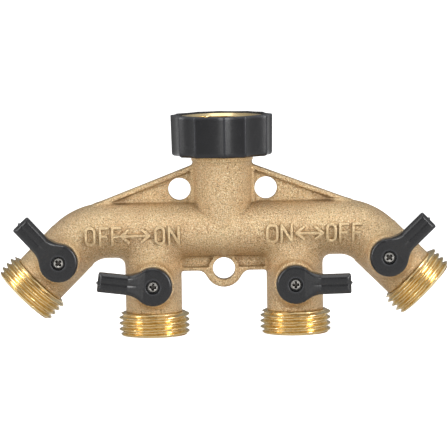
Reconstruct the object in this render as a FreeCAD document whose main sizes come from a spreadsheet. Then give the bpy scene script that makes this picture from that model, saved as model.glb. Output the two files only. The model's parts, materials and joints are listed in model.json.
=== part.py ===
"""Four-way brass hose splitter with a swivel inlet nut and four quarter-turn ball valves.

Frame: millimetres, +Z up.  X runs along the manifold tube, the levers are on the -Y side, and the
origin is where the inlet axis meets the sealing face of the hose washer inside the swivel nut.
"""
import FreeCAD, Part
import Sketcher
import math
import os
import re
from FreeCAD import Placement, Rotation, Vector

doc = FreeCAD.newDocument("hose_splitter")

# ---------------------------------------------------------------- driving dimensions

SIZES = [
    # inlet neck and manifold tube of the casting
    ("axis_drop", 36.9),          # washer's sealing face down to the axis of the manifold tube
    ("neck_top", 33.6),           # heights in this group are above the tube axis
    ("tube_r", 10.65),
    ("neck_r", 11.4),
    ("collar_r", 11.8),
    ("collar_top", 28.0),
    ("collar_high", 1.9),
    ("spigot_r", 10.2),
    ("spigot_chamfer", 0.6),
    ("waterway_r", 7.5),
    ("saddle_round", 1.2),        # fillet where the neck and the inner stubs leave the tube
    ("ring_groove_r", 9.3),
    ("ring_groove_low", 31.2),
    ("ring_groove_high", 1.5),
    # valve stubs and elbows
    ("inner_x", 27.05),           # inlet axis to an inner outlet's axis
    ("mitre_x", 52.2),            # inlet axis to where an outer outlet's axis leaves the tube axis
    ("bend_r", 19.0),
    ("bend_angle", 45.0),
    ("stub_r", 10.8),
    ("inner_reach", 31.5),        # tube axis to the end face of an inner stub
    ("outer_reach", 26.1),        # mitre point to the end face of an outer stub
    ("valve_back", 11.3),         # stub end face back to the centre of the ball
    ("port_r", 4.6),
    ("pocket_r", 7.9),
    ("pocket_up", 7.2),           # centre of the ball to the floor of its pocket
    ("boss_r", 8.3),
    ("boss_front", 13.6),         # stub axis to the face of the stem boss
    ("boss_chamfer", 0.5),
    ("stem_bore_r", 2.45),
    ("spot_face_r", 3.3),
    ("spot_face_front", 8.2),
    # lever stop: a post on the boss runs in a curved slot under the lever
    ("stop_post_r", 0.9),
    ("stop_post_high", 1.3),
    ("stop_circle_r", 5.2),
    ("stop_slot_r", 1.2),
    ("stop_slot_deep", 1.7),
    ("swing", 90.0),
    ("overtravel", 7.0),          # how far a lever goes past square before its stop
    # webs with raised rims, and the mounting holes
    ("web_thick", 3.4),
    ("rim_thick", 5.6),
    ("web_neck_high", 24.5),
    ("web_foot_x", 49.0),
    ("web_foot_high", 10.2),
    ("web_into_wall", 1.5),       # how far the webs run into the round walls they spring from
    ("panel_into_tube", 4.0),
    ("slope_rim", 1.75),
    ("side_rim", 0.8),
    ("low_web_bottom", 15.9),
    ("low_rim", 1.6),
    ("lug_r", 7.05),
    ("lug_blend_r", 3.0),
    ("lug_panel_low", 6.4),       # where the sunk panels end beside the lug, low down and high up
    ("lug_panel_high", 2.6),
    ("hole_r", 4.25),
    ("upper_hole_x", 16.5),
    ("upper_hole_high", 15.5),
    ("lower_hole_drop", 15.2),
    # raised lettering
    ("letter_high", 6.0),
    ("letter_drop", 1.3),         # middle of the letters below the tube axis
    ("letter_proud", 0.45),
    ("stroke", 0.8),
    # tailpiece with the male hose thread
    ("thread_r", 13.5),
    ("thread_root_r", 12.1),
    ("thread_pitch", 2.2),
    ("thread_land", 0.5),
    ("thread_root_flat", 0.2),
    ("first_crest", 1.05),        # stub end face to the middle of the first crest
    ("mouth_chamfer", 0.4),
    ("tail_long", 8.8),
    ("tail_chamfer", 1.0),
    ("tail_bore_r", 8.6),
    ("tail_bore_lip", 1.4),
    ("spigot_fit", 0.05),
    ("tail_seat_gap", 7.2),       # ball centre to the face of the tailpiece's spigot
    ("throat_r", 4.6),
    # ball, seats and stem
    ("ball_r", 6.5),
    ("ball_bore_r", 4.0),
    ("ball_gap", 0.1),
    ("slot_wide", 2.2),
    ("slot_floor", 5.1),
    ("seat_r", 7.8),
    ("seat_near", 3.5),
    ("tang_wide", 2.0),
    ("tang_long", 5.0),
    ("tang_tip", 5.25),
    ("stem_collar_low", 6.7),
    ("stem_collar_high", 8.05),
    ("stem_collar_r", 3.1),
    ("stem_r", 2.4),
    ("stem_top", 16.6),
    ("stem_square", 3.3),
    ("stem_shoulder", 13.8),
    ("o_ring_at", 10.8),
    ("o_ring_r", 0.39),
    ("o_ring_mid_r", 2.0),
    ("o_ring_groove_r", 1.6),
    ("o_ring_groove_long", 1.1),
    ("tapped_r", 1.22),
    ("tapped_deep", 5.2),
    # lever
    ("lever_base", 13.9),         # stub axis to the lever's underside
    ("hub_r", 7.35),
    ("hub_high", 5.4),
    ("blade_reach", 21.0),
    ("blade_wide", 7.5),
    ("blade_low", 3.9),
    ("blade_top", 8.4),
    ("ramp_start", 3.3),
    ("ramp_end", 9.7),
    ("under_ramp_start", 8.0),
    ("under_ramp_end", 11.2),
    ("flare_r", 9.5),
    ("blade_chamfer", 1.3),
    ("tip_nose", 0.5),            # the tip's lower corner is cut back by this and up by the next
    ("tip_nose_high", 0.6),
    ("tip_lean", 0.3),
    ("hub_chamfer", 0.8),
    ("square_hole", 3.4),
    ("recess_r", 2.7),
    ("recess_floor", 2.9),
    # lever screw
    ("screw_r", 1.2),
    ("screw_head_r", 2.15),
    ("screw_head_high", 1.5),
    ("screw_edge_high", 0.9),
    ("screw_crown_in", 0.55),
    ("screw_point", 0.4),
    ("screw_long", 4.6),
    ("cross_wide", 0.62),
    ("cross_long", 2.5),
    ("cross_deep", 0.9),
    # swivel nut, its cover, snap ring and washer; heights are above the washer's sealing face
    ("nut_bottom", -8.6),
    ("nut_top", 6.4),
    ("nut_r", 15.95),
    ("nut_foot_chamfer", 0.5),
    ("nut_rim_chamfer", 0.3),
    ("nut_lip_bore_r", 10.25),
    ("nut_lip_top", -6.0),
    ("nut_recess_r", 13.9),
    ("nut_recess_top", -0.4),
    ("nut_thread_r", 12.25),
    ("nut_thread_root_r", 13.6),
    ("nut_mouth_r", 13.4),
    ("nut_last_crest", 1.3),      # nut's top face to the middle of its outermost crest
    ("rib_count", 6),
    ("rib_proud", 0.8),
    ("rib_wide", 3.0),
    ("rib_low", -7.9),
    ("rib_top", 4.7),
    ("rib_fit", 0.05),
    ("cover_r", 19.65),
    ("cover_bottom", -8.8),
    ("cover_top", 6.9),
    ("cover_bore_r", 16.0),
    ("cover_draft", 1.1),
    ("cover_wide_angle", 35.0),
    ("cover_narrow_angle", 25.0),
    ("cover_turn", 3.0),
    ("cover_scallop", 0.45),
    ("cover_foot_round", 1.1),
    ("cover_rim_round", 0.35),
    ("snap_ring_in_r", 9.35),
    ("snap_ring_out_r", 11.3),
    ("snap_ring_low", -5.55),
    ("snap_ring_high", 1.2),
    ("snap_ring_gap", 4.0),
    ("washer_r", 12.8),
    ("washer_bore_r", 7.8),
    ("washer_high", 3.3),
    ("washer_round", 0.4),
]

sheet = doc.addObject("Spreadsheet::Sheet", "Sizes")
for row, (alias, number) in enumerate(SIZES, start=1):
    sheet.set(f"A{row}", alias)
    sheet.set(f"B{row}", str(number))
    sheet.setAlias(f"B{row}", alias)
doc.recompute()
ALIASES = {alias for alias, _ in SIZES}


def size(alias):
    """The number in the sheet's cell of that alias."""
    return float(sheet.get(alias))


def formula(text):
    """Point a formula's plain size names at the cells of the sheet."""
    return re.sub(r"[a-z_]+", lambda m: f"Sizes.{m[0]}" if m[0] in ALIASES else m[0], str(text))


def bind(item, **formulas):
    for prop, text in formulas.items():
        item.setExpression(prop, formula(text))
    return item


def place(item, at=("0", "0", "0"), turn=Rotation()):
    """Give the item a rotation, and bind its place to three formulas."""
    item.Placement = Placement(Vector(), turn)
    for letter, text in zip("xyz", at):
        item.setExpression(f".Placement.Base.{letter}", formula(text))
    return item


# ---------------------------------------------------------------- small building helpers

ALONG_X = Rotation(Vector(0, 1, 0), 90)
TO_FRONT = Rotation(Vector(1, 0, 0), 90)      # turns +Z to -Y, the side of the levers


def primitive(kind, name, at=("0", "0", "0"), turn=Rotation(), **formulas):
    item = doc.addObject(f"Part::{kind}", name)
    bind(item, **formulas)
    return place(item, at, turn)


def cylinder(name, radius, height, at=("0", "0", "0"), turn=Rotation()):
    return primitive("Cylinder", name, at, turn, Radius=radius, Height=height)


def box(name, length, width, height, at, turn=Rotation()):
    return primitive("Box", name, at, turn, Length=length, Width=width, Height=height)


def fuse(name, pieces):
    item = doc.addObject("Part::MultiFuse", name)
    item.Shapes = pieces
    item.Refine = True
    return item


def cut(name, base, tool):
    item = doc.addObject("Part::Cut", name)
    item.Base = base
    item.Tool = tool
    item.Refine = True
    return item


def common(name, pieces):
    item = doc.addObject("Part::MultiCommon", name)
    item.Shapes = pieces
    item.Refine = True
    return item


def outline(sketch, points):
    """Draw a closed outline of straight lines whose corners are bound to pairs of formulas."""
    count = len(points)
    probe = doc.addObject("App::FeaturePython", "Probe")
    probe.addProperty("App::PropertyFloat", "Number")
    corners = []
    for pair in points:
        numbers = []
        for text in pair:
            probe.setExpression("Number", formula(text))
            probe.recompute()
            numbers.append(probe.Number)
        corners.append(Vector(*numbers, 0))
    doc.removeObject(probe.Name)
    for i in range(count):
        sketch.addGeometry(Part.LineSegment(corners[i], corners[(i + 1) % count]), False)
    for i in range(count):
        sketch.addConstraint(Sketcher.Constraint("Coincident", i, 2, (i + 1) % count, 1))
    for i, pair in enumerate(points):
        for kind, text, number in zip(("DistanceX", "DistanceY"), pair, corners[i]):
            index = sketch.addConstraint(Sketcher.Constraint(kind, i, 1, number))
            sketch.setExpression(f"Constraints[{index}]", formula(text))
    return sketch


def prism(name, points, front, back):
    """A plate in the XZ plane between two formulas for y, front being the lower one."""
    sketch = doc.addObject("Sketcher::SketchObject", f"{name}_outline")
    sketch.Placement = Placement(Vector(), TO_FRONT)
    outline(sketch, points)
    item = doc.addObject("Part::Extrusion", name)
    item.Base = sketch
    item.DirMode = "Custom"
    item.Dir = Vector(0, -1, 0)
    item.Solid = True
    return bind(item, LengthFwd=f"-({front})", LengthRev=back)


def prism_up(name, points, height):
    """A plate in the XY plane from z = 0 up."""
    sketch = doc.addObject("Sketcher::SketchObject", f"{name}_outline")
    outline(sketch, points)
    item = doc.addObject("Part::Extrusion", name)
    item.Base = sketch
    item.DirMode = "Custom"
    item.Dir = Vector(0, 0, 1)
    item.Solid = True
    return bind(item, LengthFwd=height)


def turned(name, points):
    """A turned piece: a body whose half section, in radius and height pairs, is revolved round Z."""
    body = doc.addObject("PartDesign::Body", name)
    sketch = body.newObject("Sketcher::SketchObject", f"{name}_section")
    plane = next(f for f in body.Origin.OriginFeatures if f.Role == "XZ_Plane")
    sketch.AttachmentSupport = (plane, [""])
    sketch.MapMode = "FlatFace"
    outline(sketch, points)
    turn = body.newObject("PartDesign::Revolution", f"{name}_turn")
    turn.Profile = sketch
    turn.ReferenceAxis = (sketch, ["V_Axis"])
    turn.Angle = 360.0
    body.Tip = turn
    return body


def eased(name, kind, base, chosen, width):
    """Fillet or chamfer the edges of the base that the test chooses."""
    item = doc.addObject(f"Part::{kind}", name)
    item.Base = base
    edges = enumerate(base.Shape.Edges, start=1)
    item.Edges = [(number, width, width) for number, edge in edges if chosen(edge)]
    return item


def tube_section(inner, outer, low, high):
    return [(inner, low), (outer, low), (outer, high), (inner, high)]


# ---------------------------------------------------------------- the four valves

TURN_ABOUT = Rotation(Vector(0, 1, 0), 180)


class Valve:
    """Where one valve is: side is -1 for left and 1 for right; rest is its lever's angle past square."""

    def __init__(self, name, side, outer, rest):
        self.name = name
        self.side = side
        self.rest = rest
        lean = -side * size("bend_angle") if outer else 0.0
        self.turn = Rotation(Vector(0, 1, 0), lean)
        if outer:
            along = "(outer_reach - valve_back)"
            self.at = (
                f"{side} * (mitre_x + {along} * sin(bend_angle))",
                "0",
                f"-axis_drop - {along} * cos(bend_angle)",
            )
        else:
            self.at = (f"{side} * inner_x", "0", "-axis_drop - inner_reach + valve_back")

    def fixed(self, item):
        """Place a piece drawn round the ball's centre with its outlet towards -Z."""
        return place(item, self.at, self.turn)

    def moving(self, item):
        """Place a piece drawn with its lever along +X at the lever's rest angle."""
        face = Rotation() if self.side > 0 else TURN_ABOUT
        back = Rotation(Vector(0, 1, 0), self.side * -self.rest)
        return place(item, self.at, self.turn.multiply(back).multiply(face))


VALVES = [
    Valve("outer_left", -1, True, 2.5),
    Valve("inner_left", -1, False, size("overtravel")),
    Valve("inner_right", 1, False, 1.0),
    Valve("outer_right", 1, True, -1.4),
]


# ---------------------------------------------------------------- casting

TUBE_Z = "-axis_drop"
BEND_TANGENT = "bend_r * tan(bend_angle / 2)"


def neck_outside():
    neck = cylinder("neck", "neck_r", "collar_top", ("0", "0", TUBE_Z))
    collar = cylinder(
        "collar", "collar_r", "collar_high", ("0", "0", "-axis_drop + collar_top - collar_high")
    )
    spigot = turned(
        "spigot",
        [
            ("0", "-axis_drop + collar_top - 1"),
            ("spigot_r", "-axis_drop + collar_top - 1"),
            ("spigot_r", "-axis_drop + ring_groove_low"),
            ("ring_groove_r", "-axis_drop + ring_groove_low"),
            ("ring_groove_r", "-axis_drop + ring_groove_low + ring_groove_high"),
            ("spigot_r", "-axis_drop + ring_groove_low + ring_groove_high"),
            ("spigot_r", "-axis_drop + neck_top - spigot_chamfer"),
            ("spigot_r - spigot_chamfer", "-axis_drop + neck_top"),
            ("0", "-axis_drop + neck_top"),
        ],
    )
    return [neck, collar, spigot]


def tube_run(name, radius):
    """The straight tube between the two bends."""
    half = f"(mitre_x - {BEND_TANGENT})"
    return cylinder(name, radius, f"2 * {half}", (f"-{half}", "0", TUBE_Z), ALONG_X)


def bend(name, side, radius):
    """One 45 degree bend of the tube, down towards an outer outlet."""
    centre = (f"{side} * (mitre_x - {BEND_TANGENT})", "0", "-axis_drop - bend_r")
    start = 90.0 - size("bend_angle") if side > 0 else 90.0
    turn = TO_FRONT.multiply(Rotation(Vector(0, 0, 1), start))
    return primitive(
        "Torus", name, centre, turn,
        Radius1="bend_r", Radius2=radius, Angle1="-180", Angle2="180", Angle3="bend_angle",
    )


def stub_outside(valve):
    """The stub with its stem boss and stop post."""
    outer = "outer" in valve.name
    back = f"outer_reach - valve_back - {BEND_TANGENT}" if outer else "inner_reach - valve_back"
    stub = cylinder(
        f"stub_{valve.name}", "stub_r", f"{back} + valve_back", ("0", "0", "-valve_back")
    )
    boss = cylinder(
        f"boss_{valve.name}", "boss_r", "boss_front - boss_chamfer", turn=TO_FRONT
    )
    rim = primitive(
        "Cone", f"boss_rim_{valve.name}", ("0", "-boss_front + boss_chamfer", "0"), TO_FRONT,
        Radius1="boss_r", Radius2="boss_r - boss_chamfer", Height="boss_chamfer",
    )
    post = cylinder(
        f"stop_post_{valve.name}", "stop_post_r", "stop_post_high + boss_front - pocket_r - 1",
        (f"{valve.side} * stop_circle_r * cos((swing - overtravel) / 2)", "-pocket_r - 1",
         "-stop_circle_r * sin((swing - overtravel) / 2)"),
        TO_FRONT,
    )
    return valve.fixed(fuse(f"stub_outside_{valve.name}", [stub, boss, rim, post]))


def stub_inside(valve):
    """The ball's pocket, the port above it and the stem's bore."""
    outer = "outer" in valve.name
    back = f"outer_reach - valve_back - {BEND_TANGENT}" if outer else "inner_reach - valve_back"
    pocket = cylinder(
        f"pocket_{valve.name}", "pocket_r", "pocket_up + valve_back", ("0", "0", "-valve_back")
    )
    port = cylinder(f"port_{valve.name}", "port_r", back)
    spot_face = cylinder(
        f"spot_face_{valve.name}", "spot_face_r", "spot_face_front", turn=TO_FRONT
    )
    bore = cylinder(
        f"stem_bore_{valve.name}", "stem_bore_r", "boss_front + 1", turn=TO_FRONT
    )
    return valve.fixed(fuse(f"stub_inside_{valve.name}", [pocket, port, spot_face, bore]))


def upper_web(side):
    """A sloping gusset between neck and tube: a thin web framed by raised rims."""
    name = "right" if side > 0 else "left"
    neck = "neck_r - web_into_wall"
    slope = "((web_neck_high - web_foot_high) / (web_foot_x - neck_r))"
    frame = [
        (f"{side} * ({neck})", TUBE_Z),
        (f"{side} * ({neck})", f"-axis_drop + web_neck_high + web_into_wall * {slope}"),
        (f"{side} * web_foot_x", "-axis_drop + web_foot_high"),
        (f"{side} * (mitre_x - {BEND_TANGENT})", TUBE_Z),
    ]
    inner = f"(web_neck_high - slope_rim * 1.07 - side_rim * {slope})"
    foot = f"(neck_r + ({inner} - tube_r + side_rim * {slope}) / {slope})"
    panel = [
        (f"{side} * (neck_r + side_rim)", "-axis_drop + tube_r - panel_into_tube"),
        (f"{side} * (neck_r + side_rim)", f"-axis_drop + {inner}"),
        (f"{side} * ({foot} + panel_into_tube / {slope})", "-axis_drop + tube_r - panel_into_tube"),
    ]
    plate = prism(f"upper_frame_{name}", frame, "-rim_thick / 2", "rim_thick / 2")
    front = prism(f"upper_panel_front_{name}", panel, "-rim_thick", "-web_thick / 2")
    back = prism(f"upper_panel_back_{name}", panel, "web_thick / 2", "rim_thick")
    sinks = fuse(f"upper_panels_{name}", [front, back])
    return cut(f"upper_web_{name}", plate, sinks)


def lower_web():
    """The web between the inner stubs, with a round lug blended into its lower rim."""
    side = "inner_x - stub_r"
    frame = [
        (f"-({side} + web_into_wall)", TUBE_Z),
        (f"-({side} + web_into_wall)", "-axis_drop - low_web_bottom"),
        (f"{side} + web_into_wall", "-axis_drop - low_web_bottom"),
        (f"{side} + web_into_wall", TUBE_Z),
    ]
    plate = prism("lower_frame", frame, "-rim_thick / 2", "rim_thick / 2")
    lug_at = ("0", "rim_thick / 2", "-axis_drop - lower_hole_drop")
    lug = cylinder("lug", "lug_r", "rim_thick", lug_at, TO_FRONT)
    blend_x = "sqrt((lug_r + lug_blend_r)^2 - (lug_blend_r + low_web_bottom - lower_hole_drop)^2)"
    fill = prism(
        "lug_fill",
        [
            (f"-{blend_x}", "-axis_drop - low_web_bottom + 1"),
            (f"-{blend_x}", "-axis_drop - low_web_bottom"),
            (f"-{blend_x} * lug_r / (lug_r + lug_blend_r)",
             "-axis_drop - lower_hole_drop - (lug_blend_r + low_web_bottom - lower_hole_drop)"
             " * lug_r / (lug_r + lug_blend_r)"),
            (f"{blend_x} * lug_r / (lug_r + lug_blend_r)",
             "-axis_drop - lower_hole_drop - (lug_blend_r + low_web_bottom - lower_hole_drop)"
             " * lug_r / (lug_r + lug_blend_r)"),
            (blend_x, "-axis_drop - low_web_bottom"),
            (blend_x, "-axis_drop - low_web_bottom + 1"),
        ],
        "-rim_thick / 2", "rim_thick / 2",
    )
    body = fuse("lower_plate", [plate, lug, fill])
    sinks = []
    for sign in (-1, 1):
        name = "right" if sign > 0 else "left"
        sinks.append(cylinder(
            f"lug_blend_{name}", "lug_blend_r", "2 * rim_thick",
            (f"{sign} * {blend_x}", "rim_thick", "-axis_drop - low_web_bottom - lug_blend_r"),
            TO_FRONT,
        ))
        panel = [
            (f"{sign} * ({side} - side_rim)", "-axis_drop - tube_r + panel_into_tube"),
            (f"{sign} * ({side} - side_rim)", "-axis_drop - low_web_bottom + low_rim"),
            (f"{sign} * lug_panel_low", "-axis_drop - low_web_bottom + low_rim"),
            (f"{sign} * lug_panel_high", "-axis_drop - tube_r + panel_into_tube"),
        ]
        sinks.append(prism(f"low_panel_front_{name}", panel, "-rim_thick", "-web_thick / 2"))
        sinks.append(prism(f"low_panel_back_{name}", panel, "web_thick / 2", "rim_thick"))
    return cut("lower_web", body, fuse("lower_sinks", sinks))


def mounting_holes():
    places = [
        ("left", "-upper_hole_x", "-axis_drop + upper_hole_high"),
        ("right", "upper_hole_x", "-axis_drop + upper_hole_high"),
        ("lower", "0", "-axis_drop - lower_hole_drop"),
    ]
    return [
        cylinder(f"mounting_hole_{name}", "hole_r", "2 * rim_thick", (x, "rim_thick", z), TO_FRONT)
        for name, x, z in places
    ]


# Signs are strokes between points of a grid from (0, 0) to (1, 1).
SIGNS = {
    "O": [((0, 0.2), (0, 0.8)), ((0, 0.8), (0.25, 1)), ((0.25, 1), (0.75, 1)), ((0.75, 1), (1, 0.8)),
          ((1, 0.8), (1, 0.2)), ((1, 0.2), (0.75, 0)), ((0.75, 0), (0.25, 0)), ((0.25, 0), (0, 0.2))],
    "N": [((0, 0), (0, 1)), ((0, 1), (1, 0)), ((1, 0), (1, 1))],
    "F": [((0, 0), (0, 1)), ((0, 1), (1, 1)), ((0, 0.5), (0.8, 0.5))],
    "arrow": [((0, 0.5), (1, 0.5)), ((0, 0.5), (0.26, 0.86)), ((0, 0.5), (0.26, 0.14)),
              ((1, 0.5), (0.74, 0.86)), ((1, 0.5), (0.74, 0.14))],
}

# Each sign of a legend with the X of its left edge and its width.
LEGENDS = {
    "left": [("O", -52.3, 3.2), ("F", -46.9, 2.9), ("F", -42.2, 3.0), ("arrow", -38.9, 10.8),
             ("O", -25.8, 3.2), ("N", -20.7, 3.7)],
    "right": [("O", 16.7, 3.8), ("N", 22.2, 3.8), ("arrow", 27.7, 10.2), ("O", 39.5, 3.2),
              ("F", 44.4, 3.1), ("F", 49.4, 3.1)],
}


def stroke_blocks(name, strokes, left, width):
    """Straight bars for the strokes of one sign, deep enough to pass through the tube's front wall."""
    high = size("letter_high")
    thick = size("stroke")
    base = -size("axis_drop") - size("letter_drop") - high / 2
    blocks = []
    for number, (start, end) in enumerate(strokes):
        x0, z0 = left + start[0] * width, base + start[1] * high
        x1, z1 = left + end[0] * width, base + end[1] * high
        slope = math.degrees(math.atan2(z1 - z0, x1 - x0))
        bar = doc.addObject("Part::Box", f"{name}_{number}")
        bar.Length = math.hypot(x1 - x0, z1 - z0) + thick
        bind(bar, Width="stub_r", Height="stroke")
        shift = Vector(-thick / 2, -2 * size("stub_r") + size("waterway_r") + 1, -thick / 2)
        turn = Rotation(Vector(0, 1, 0), -slope)
        bar.Placement = Placement(Vector(x0, 0, z0) + turn.multVec(shift), turn)
        blocks.append(bar)
    return blocks


def lettering():
    """OFF and ON with a double arrow on each half, standing proud of the casting's own surface."""
    blocks = []
    for side, signs in LEGENDS.items():
        for number, (sign, left, width) in enumerate(signs):
            blocks += stroke_blocks(f"sign_{side}_{number}", SIGNS[sign], left, width)
    proud = "tube_r + letter_proud"
    skins = [tube_run("letter_skin_tube", proud)]
    for side, name in ((-1, "left"), (1, "right")):
        skins.append(bend(f"letter_skin_bend_{name}", side, proud))
        skins.append(cylinder(
            f"letter_skin_stub_{name}", "stub_r + letter_proud", "stub_r + 2",
            (f"{side} * inner_x", "0", "-axis_drop - stub_r - 2"),
        ))
        skins.append(cylinder(
            f"letter_skin_reach_{name}", "tube_r + letter_proud", "6",
            (f"{side} * (mitre_x + {BEND_TANGENT} * cos(bend_angle))", "0",
             f"-axis_drop - {BEND_TANGENT} * sin(bend_angle)"),
            Rotation(Vector(0, 1, 0), 180 - side * 45),
        ))
    return common("lettering", [fuse("letter_blocks", blocks), fuse("letter_skin", skins)])


def saddle_edge(edge):
    """The edges where the neck and the inner stubs cross the tube."""
    curved = edge.Curve.TypeId.endswith("BSplineCurve")
    return curved and 15 < edge.Length < 20 and edge.BoundBox.YLength > 5


def casting():
    outside = neck_outside()
    outside.append(tube_run("tube", "tube_r"))
    inside = [tube_run("tube_bore", "waterway_r")]
    inside.append(cylinder("neck_bore", "waterway_r", "neck_top", ("0", "0", TUBE_Z)))
    for side, name in ((-1, "left"), (1, "right")):
        outside.append(bend(f"bend_{name}", side, "tube_r"))
        outside.append(upper_web(side))
        inside.append(bend(f"bend_bore_{name}", side, "port_r"))
    outside.append(lower_web())
    for valve in VALVES:
        outside.append(stub_outside(valve))
        inside.append(stub_inside(valve))
    inside += mounting_holes()
    crossed = fuse("casting_crossed", outside)
    doc.recompute()
    rounded = eased("casting_rounded", "Fillet", crossed, saddle_edge, size("saddle_round"))
    shape = fuse("casting_outside", [rounded, lettering()])
    return cut("manifold_body", shape, fuse("casting_inside", inside))


# ---------------------------------------------------------------- tailpieces

def tailpiece(valve):
    """Turned outlet end: a spigot in the stub, a flange on its face and the male hose thread."""
    points = [
        ("throat_r", "-tail_seat_gap"),
        ("pocket_r - spigot_fit", "-tail_seat_gap"),
        ("pocket_r - spigot_fit", "-valve_back"),
        ("thread_root_r", "-valve_back"),
    ]
    crests = 4
    for number in range(crests):
        crest = f"-valve_back - first_crest - thread_pitch * {number}"
        points.append(("thread_r", f"{crest} + thread_land / 2"))
        if number < crests - 1:
            points.append(("thread_r", f"{crest} - thread_land / 2"))
            points.append(("thread_root_r", f"{crest} - thread_pitch / 2 + thread_root_flat / 2"))
            points.append(("thread_root_r", f"{crest} - thread_pitch / 2 - thread_root_flat / 2"))
    points += [
        ("thread_r", "-valve_back - tail_long + tail_chamfer"),
        ("thread_r - tail_chamfer", "-valve_back - tail_long"),
        ("tail_bore_r + mouth_chamfer", "-valve_back - tail_long"),
        ("tail_bore_r", "-valve_back - tail_long + mouth_chamfer"),
        ("tail_bore_r", "-valve_back - tail_bore_lip"),
        ("throat_r", "-valve_back - tail_bore_lip"),
    ]
    return valve.fixed(turned(f"tailpiece_{valve.name}", points))


# ---------------------------------------------------------------- ball, seats, stem and O-ring

def ball(valve):
    """Shown closed: its bore lies across the waterway, and the drive slot on its front is upright."""
    name = valve.name
    sphere = primitive("Sphere", f"ball_sphere_{name}", Radius="ball_r")
    bore = cylinder(
        f"ball_bore_{name}", "ball_bore_r", "2 * ball_r + 2", ("-ball_r - 1", "0", "0"), ALONG_X
    )
    slot = box(
        f"ball_slot_{name}", "slot_wide", "ball_r", "2 * ball_r",
        ("-slot_wide / 2", "-slot_floor - ball_r", "-ball_r"),
    )
    tools = fuse(f"ball_cuts_{name}", [bore, slot])
    return valve.moving(cut(f"ball_{name}", sphere, tools))


def seat(valve, label, upright):
    """A plastic ring with a hollow face that the ball rests in."""
    name = f"{label}_{valve.name}"
    low = "seat_near" if upright else "-tail_seat_gap"
    ring = primitive(
        "Cylinder", f"{name}_blank", ("0", "0", low),
        Radius="seat_r", Height="tail_seat_gap - seat_near",
    )
    bore = cylinder(f"{name}_bore", "port_r", "3 * ball_r", ("0", "0", "-1.5 * ball_r"))
    hollow = primitive("Sphere", f"{name}_hollow", Radius="ball_r + ball_gap")
    return valve.fixed(cut(name, ring, fuse(f"{name}_cuts", [bore, hollow])))


def stem(valve):
    """Tang, anti-blow-out collar, O-ring groove, square end and tapped hole, drawn upright."""
    name = f"stem_{valve.name}"
    shaft = turned(
        f"{name}_shaft",
        [
            ("0", "stem_collar_low"),
            ("stem_collar_r", "stem_collar_low"),
            ("stem_collar_r", "stem_collar_high"),
            ("stem_r", "stem_collar_high"),
            ("stem_r", "o_ring_at - o_ring_groove_long / 2"),
            ("o_ring_groove_r", "o_ring_at - o_ring_groove_long / 2"),
            ("o_ring_groove_r", "o_ring_at + o_ring_groove_long / 2"),
            ("stem_r", "o_ring_at + o_ring_groove_long / 2"),
            ("stem_r", "stem_shoulder"),
            ("0", "stem_shoulder"),
        ],
    )
    tang = box(
        f"{name}_tang", "tang_wide", "tang_long", "stem_collar_low - tang_tip + 0.2",
        ("-tang_wide / 2", "-tang_long / 2", "tang_tip"),
    )
    square = box(
        f"{name}_square", "stem_square", "stem_square", "stem_top - stem_shoulder + 0.5",
        ("-stem_square / 2", "-stem_square / 2", "stem_shoulder - 0.5"),
    )
    tapped = cylinder(
        f"{name}_tapped", "tapped_r", "tapped_deep + 1", ("0", "0", "stem_top - tapped_deep")
    )
    upright = fuse(f"{name}_blank", [shaft, tang, square])
    item = cut(name, upright, tapped)
    return moving_upright(valve, item)


def moving_upright(valve, item):
    """Place a piece drawn with the stem's axis along +Z and the lever along +X."""
    face = Rotation() if valve.side > 0 else TURN_ABOUT
    back = Rotation(Vector(0, 1, 0), valve.side * -valve.rest)
    turn = valve.turn.multiply(back).multiply(face).multiply(TO_FRONT)
    return place(item, valve.at, turn)


def stem_o_ring(valve):
    ring = primitive(
        "Torus", f"stem_o_ring_{valve.name}",
        Radius1="o_ring_mid_r", Radius2="o_ring_r", Angle1="-180", Angle2="180", Angle3="360",
    )
    moving_upright(valve, ring)
    shift = valve.turn.multVec(Vector(0, -1, 0))
    ring.setExpression(".Placement.Base.y", formula(f"{round(shift.y)} * o_ring_at"))
    return ring


# ---------------------------------------------------------------- lever and its screw

def lever_plan(name):
    """The lever from the front: a round hub that flares into a straight blade."""
    hub = cylinder(f"{name}_hub", "hub_r", "hub_high - hub_chamfer")
    bevel = primitive(
        "Cone", f"{name}_hub_bevel", ("0", "0", "hub_high - hub_chamfer"),
        Radius1="hub_r", Radius2="hub_r - hub_chamfer", Height="hub_chamfer",
    )
    half = "(blade_wide / 2)"
    arm = box(
        f"{name}_arm", "blade_reach", "blade_wide", "blade_top", ("0", f"-{half}", "0")
    )
    reach = f"({half} + flare_r)"
    touch = f"sqrt((hub_r + flare_r)^2 - {reach}^2)"
    web = prism_up(
        f"{name}_web",
        [
            ("0", f"-hub_r * {reach} / (hub_r + flare_r)"),
            (f"{touch} * hub_r / (hub_r + flare_r)", f"-hub_r * {reach} / (hub_r + flare_r)"),
            (touch, f"-{half}"),
            (touch, half),
            (f"{touch} * hub_r / (hub_r + flare_r)", f"hub_r * {reach} / (hub_r + flare_r)"),
            ("0", f"hub_r * {reach} / (hub_r + flare_r)"),
        ],
        "blade_top",
    )
    hollows = [
        cylinder(f"{name}_flare_{label}", "flare_r", "3 * blade_top",
                 (touch, f"{sign} * {reach}", "-blade_top"))
        for sign, label in ((-1, "low"), (1, "high"))
    ]
    blank = fuse(f"{name}_blank", [hub, bevel, arm, web])
    return cut(f"{name}_plan", blank, fuse(f"{name}_flares", hollows))


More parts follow.
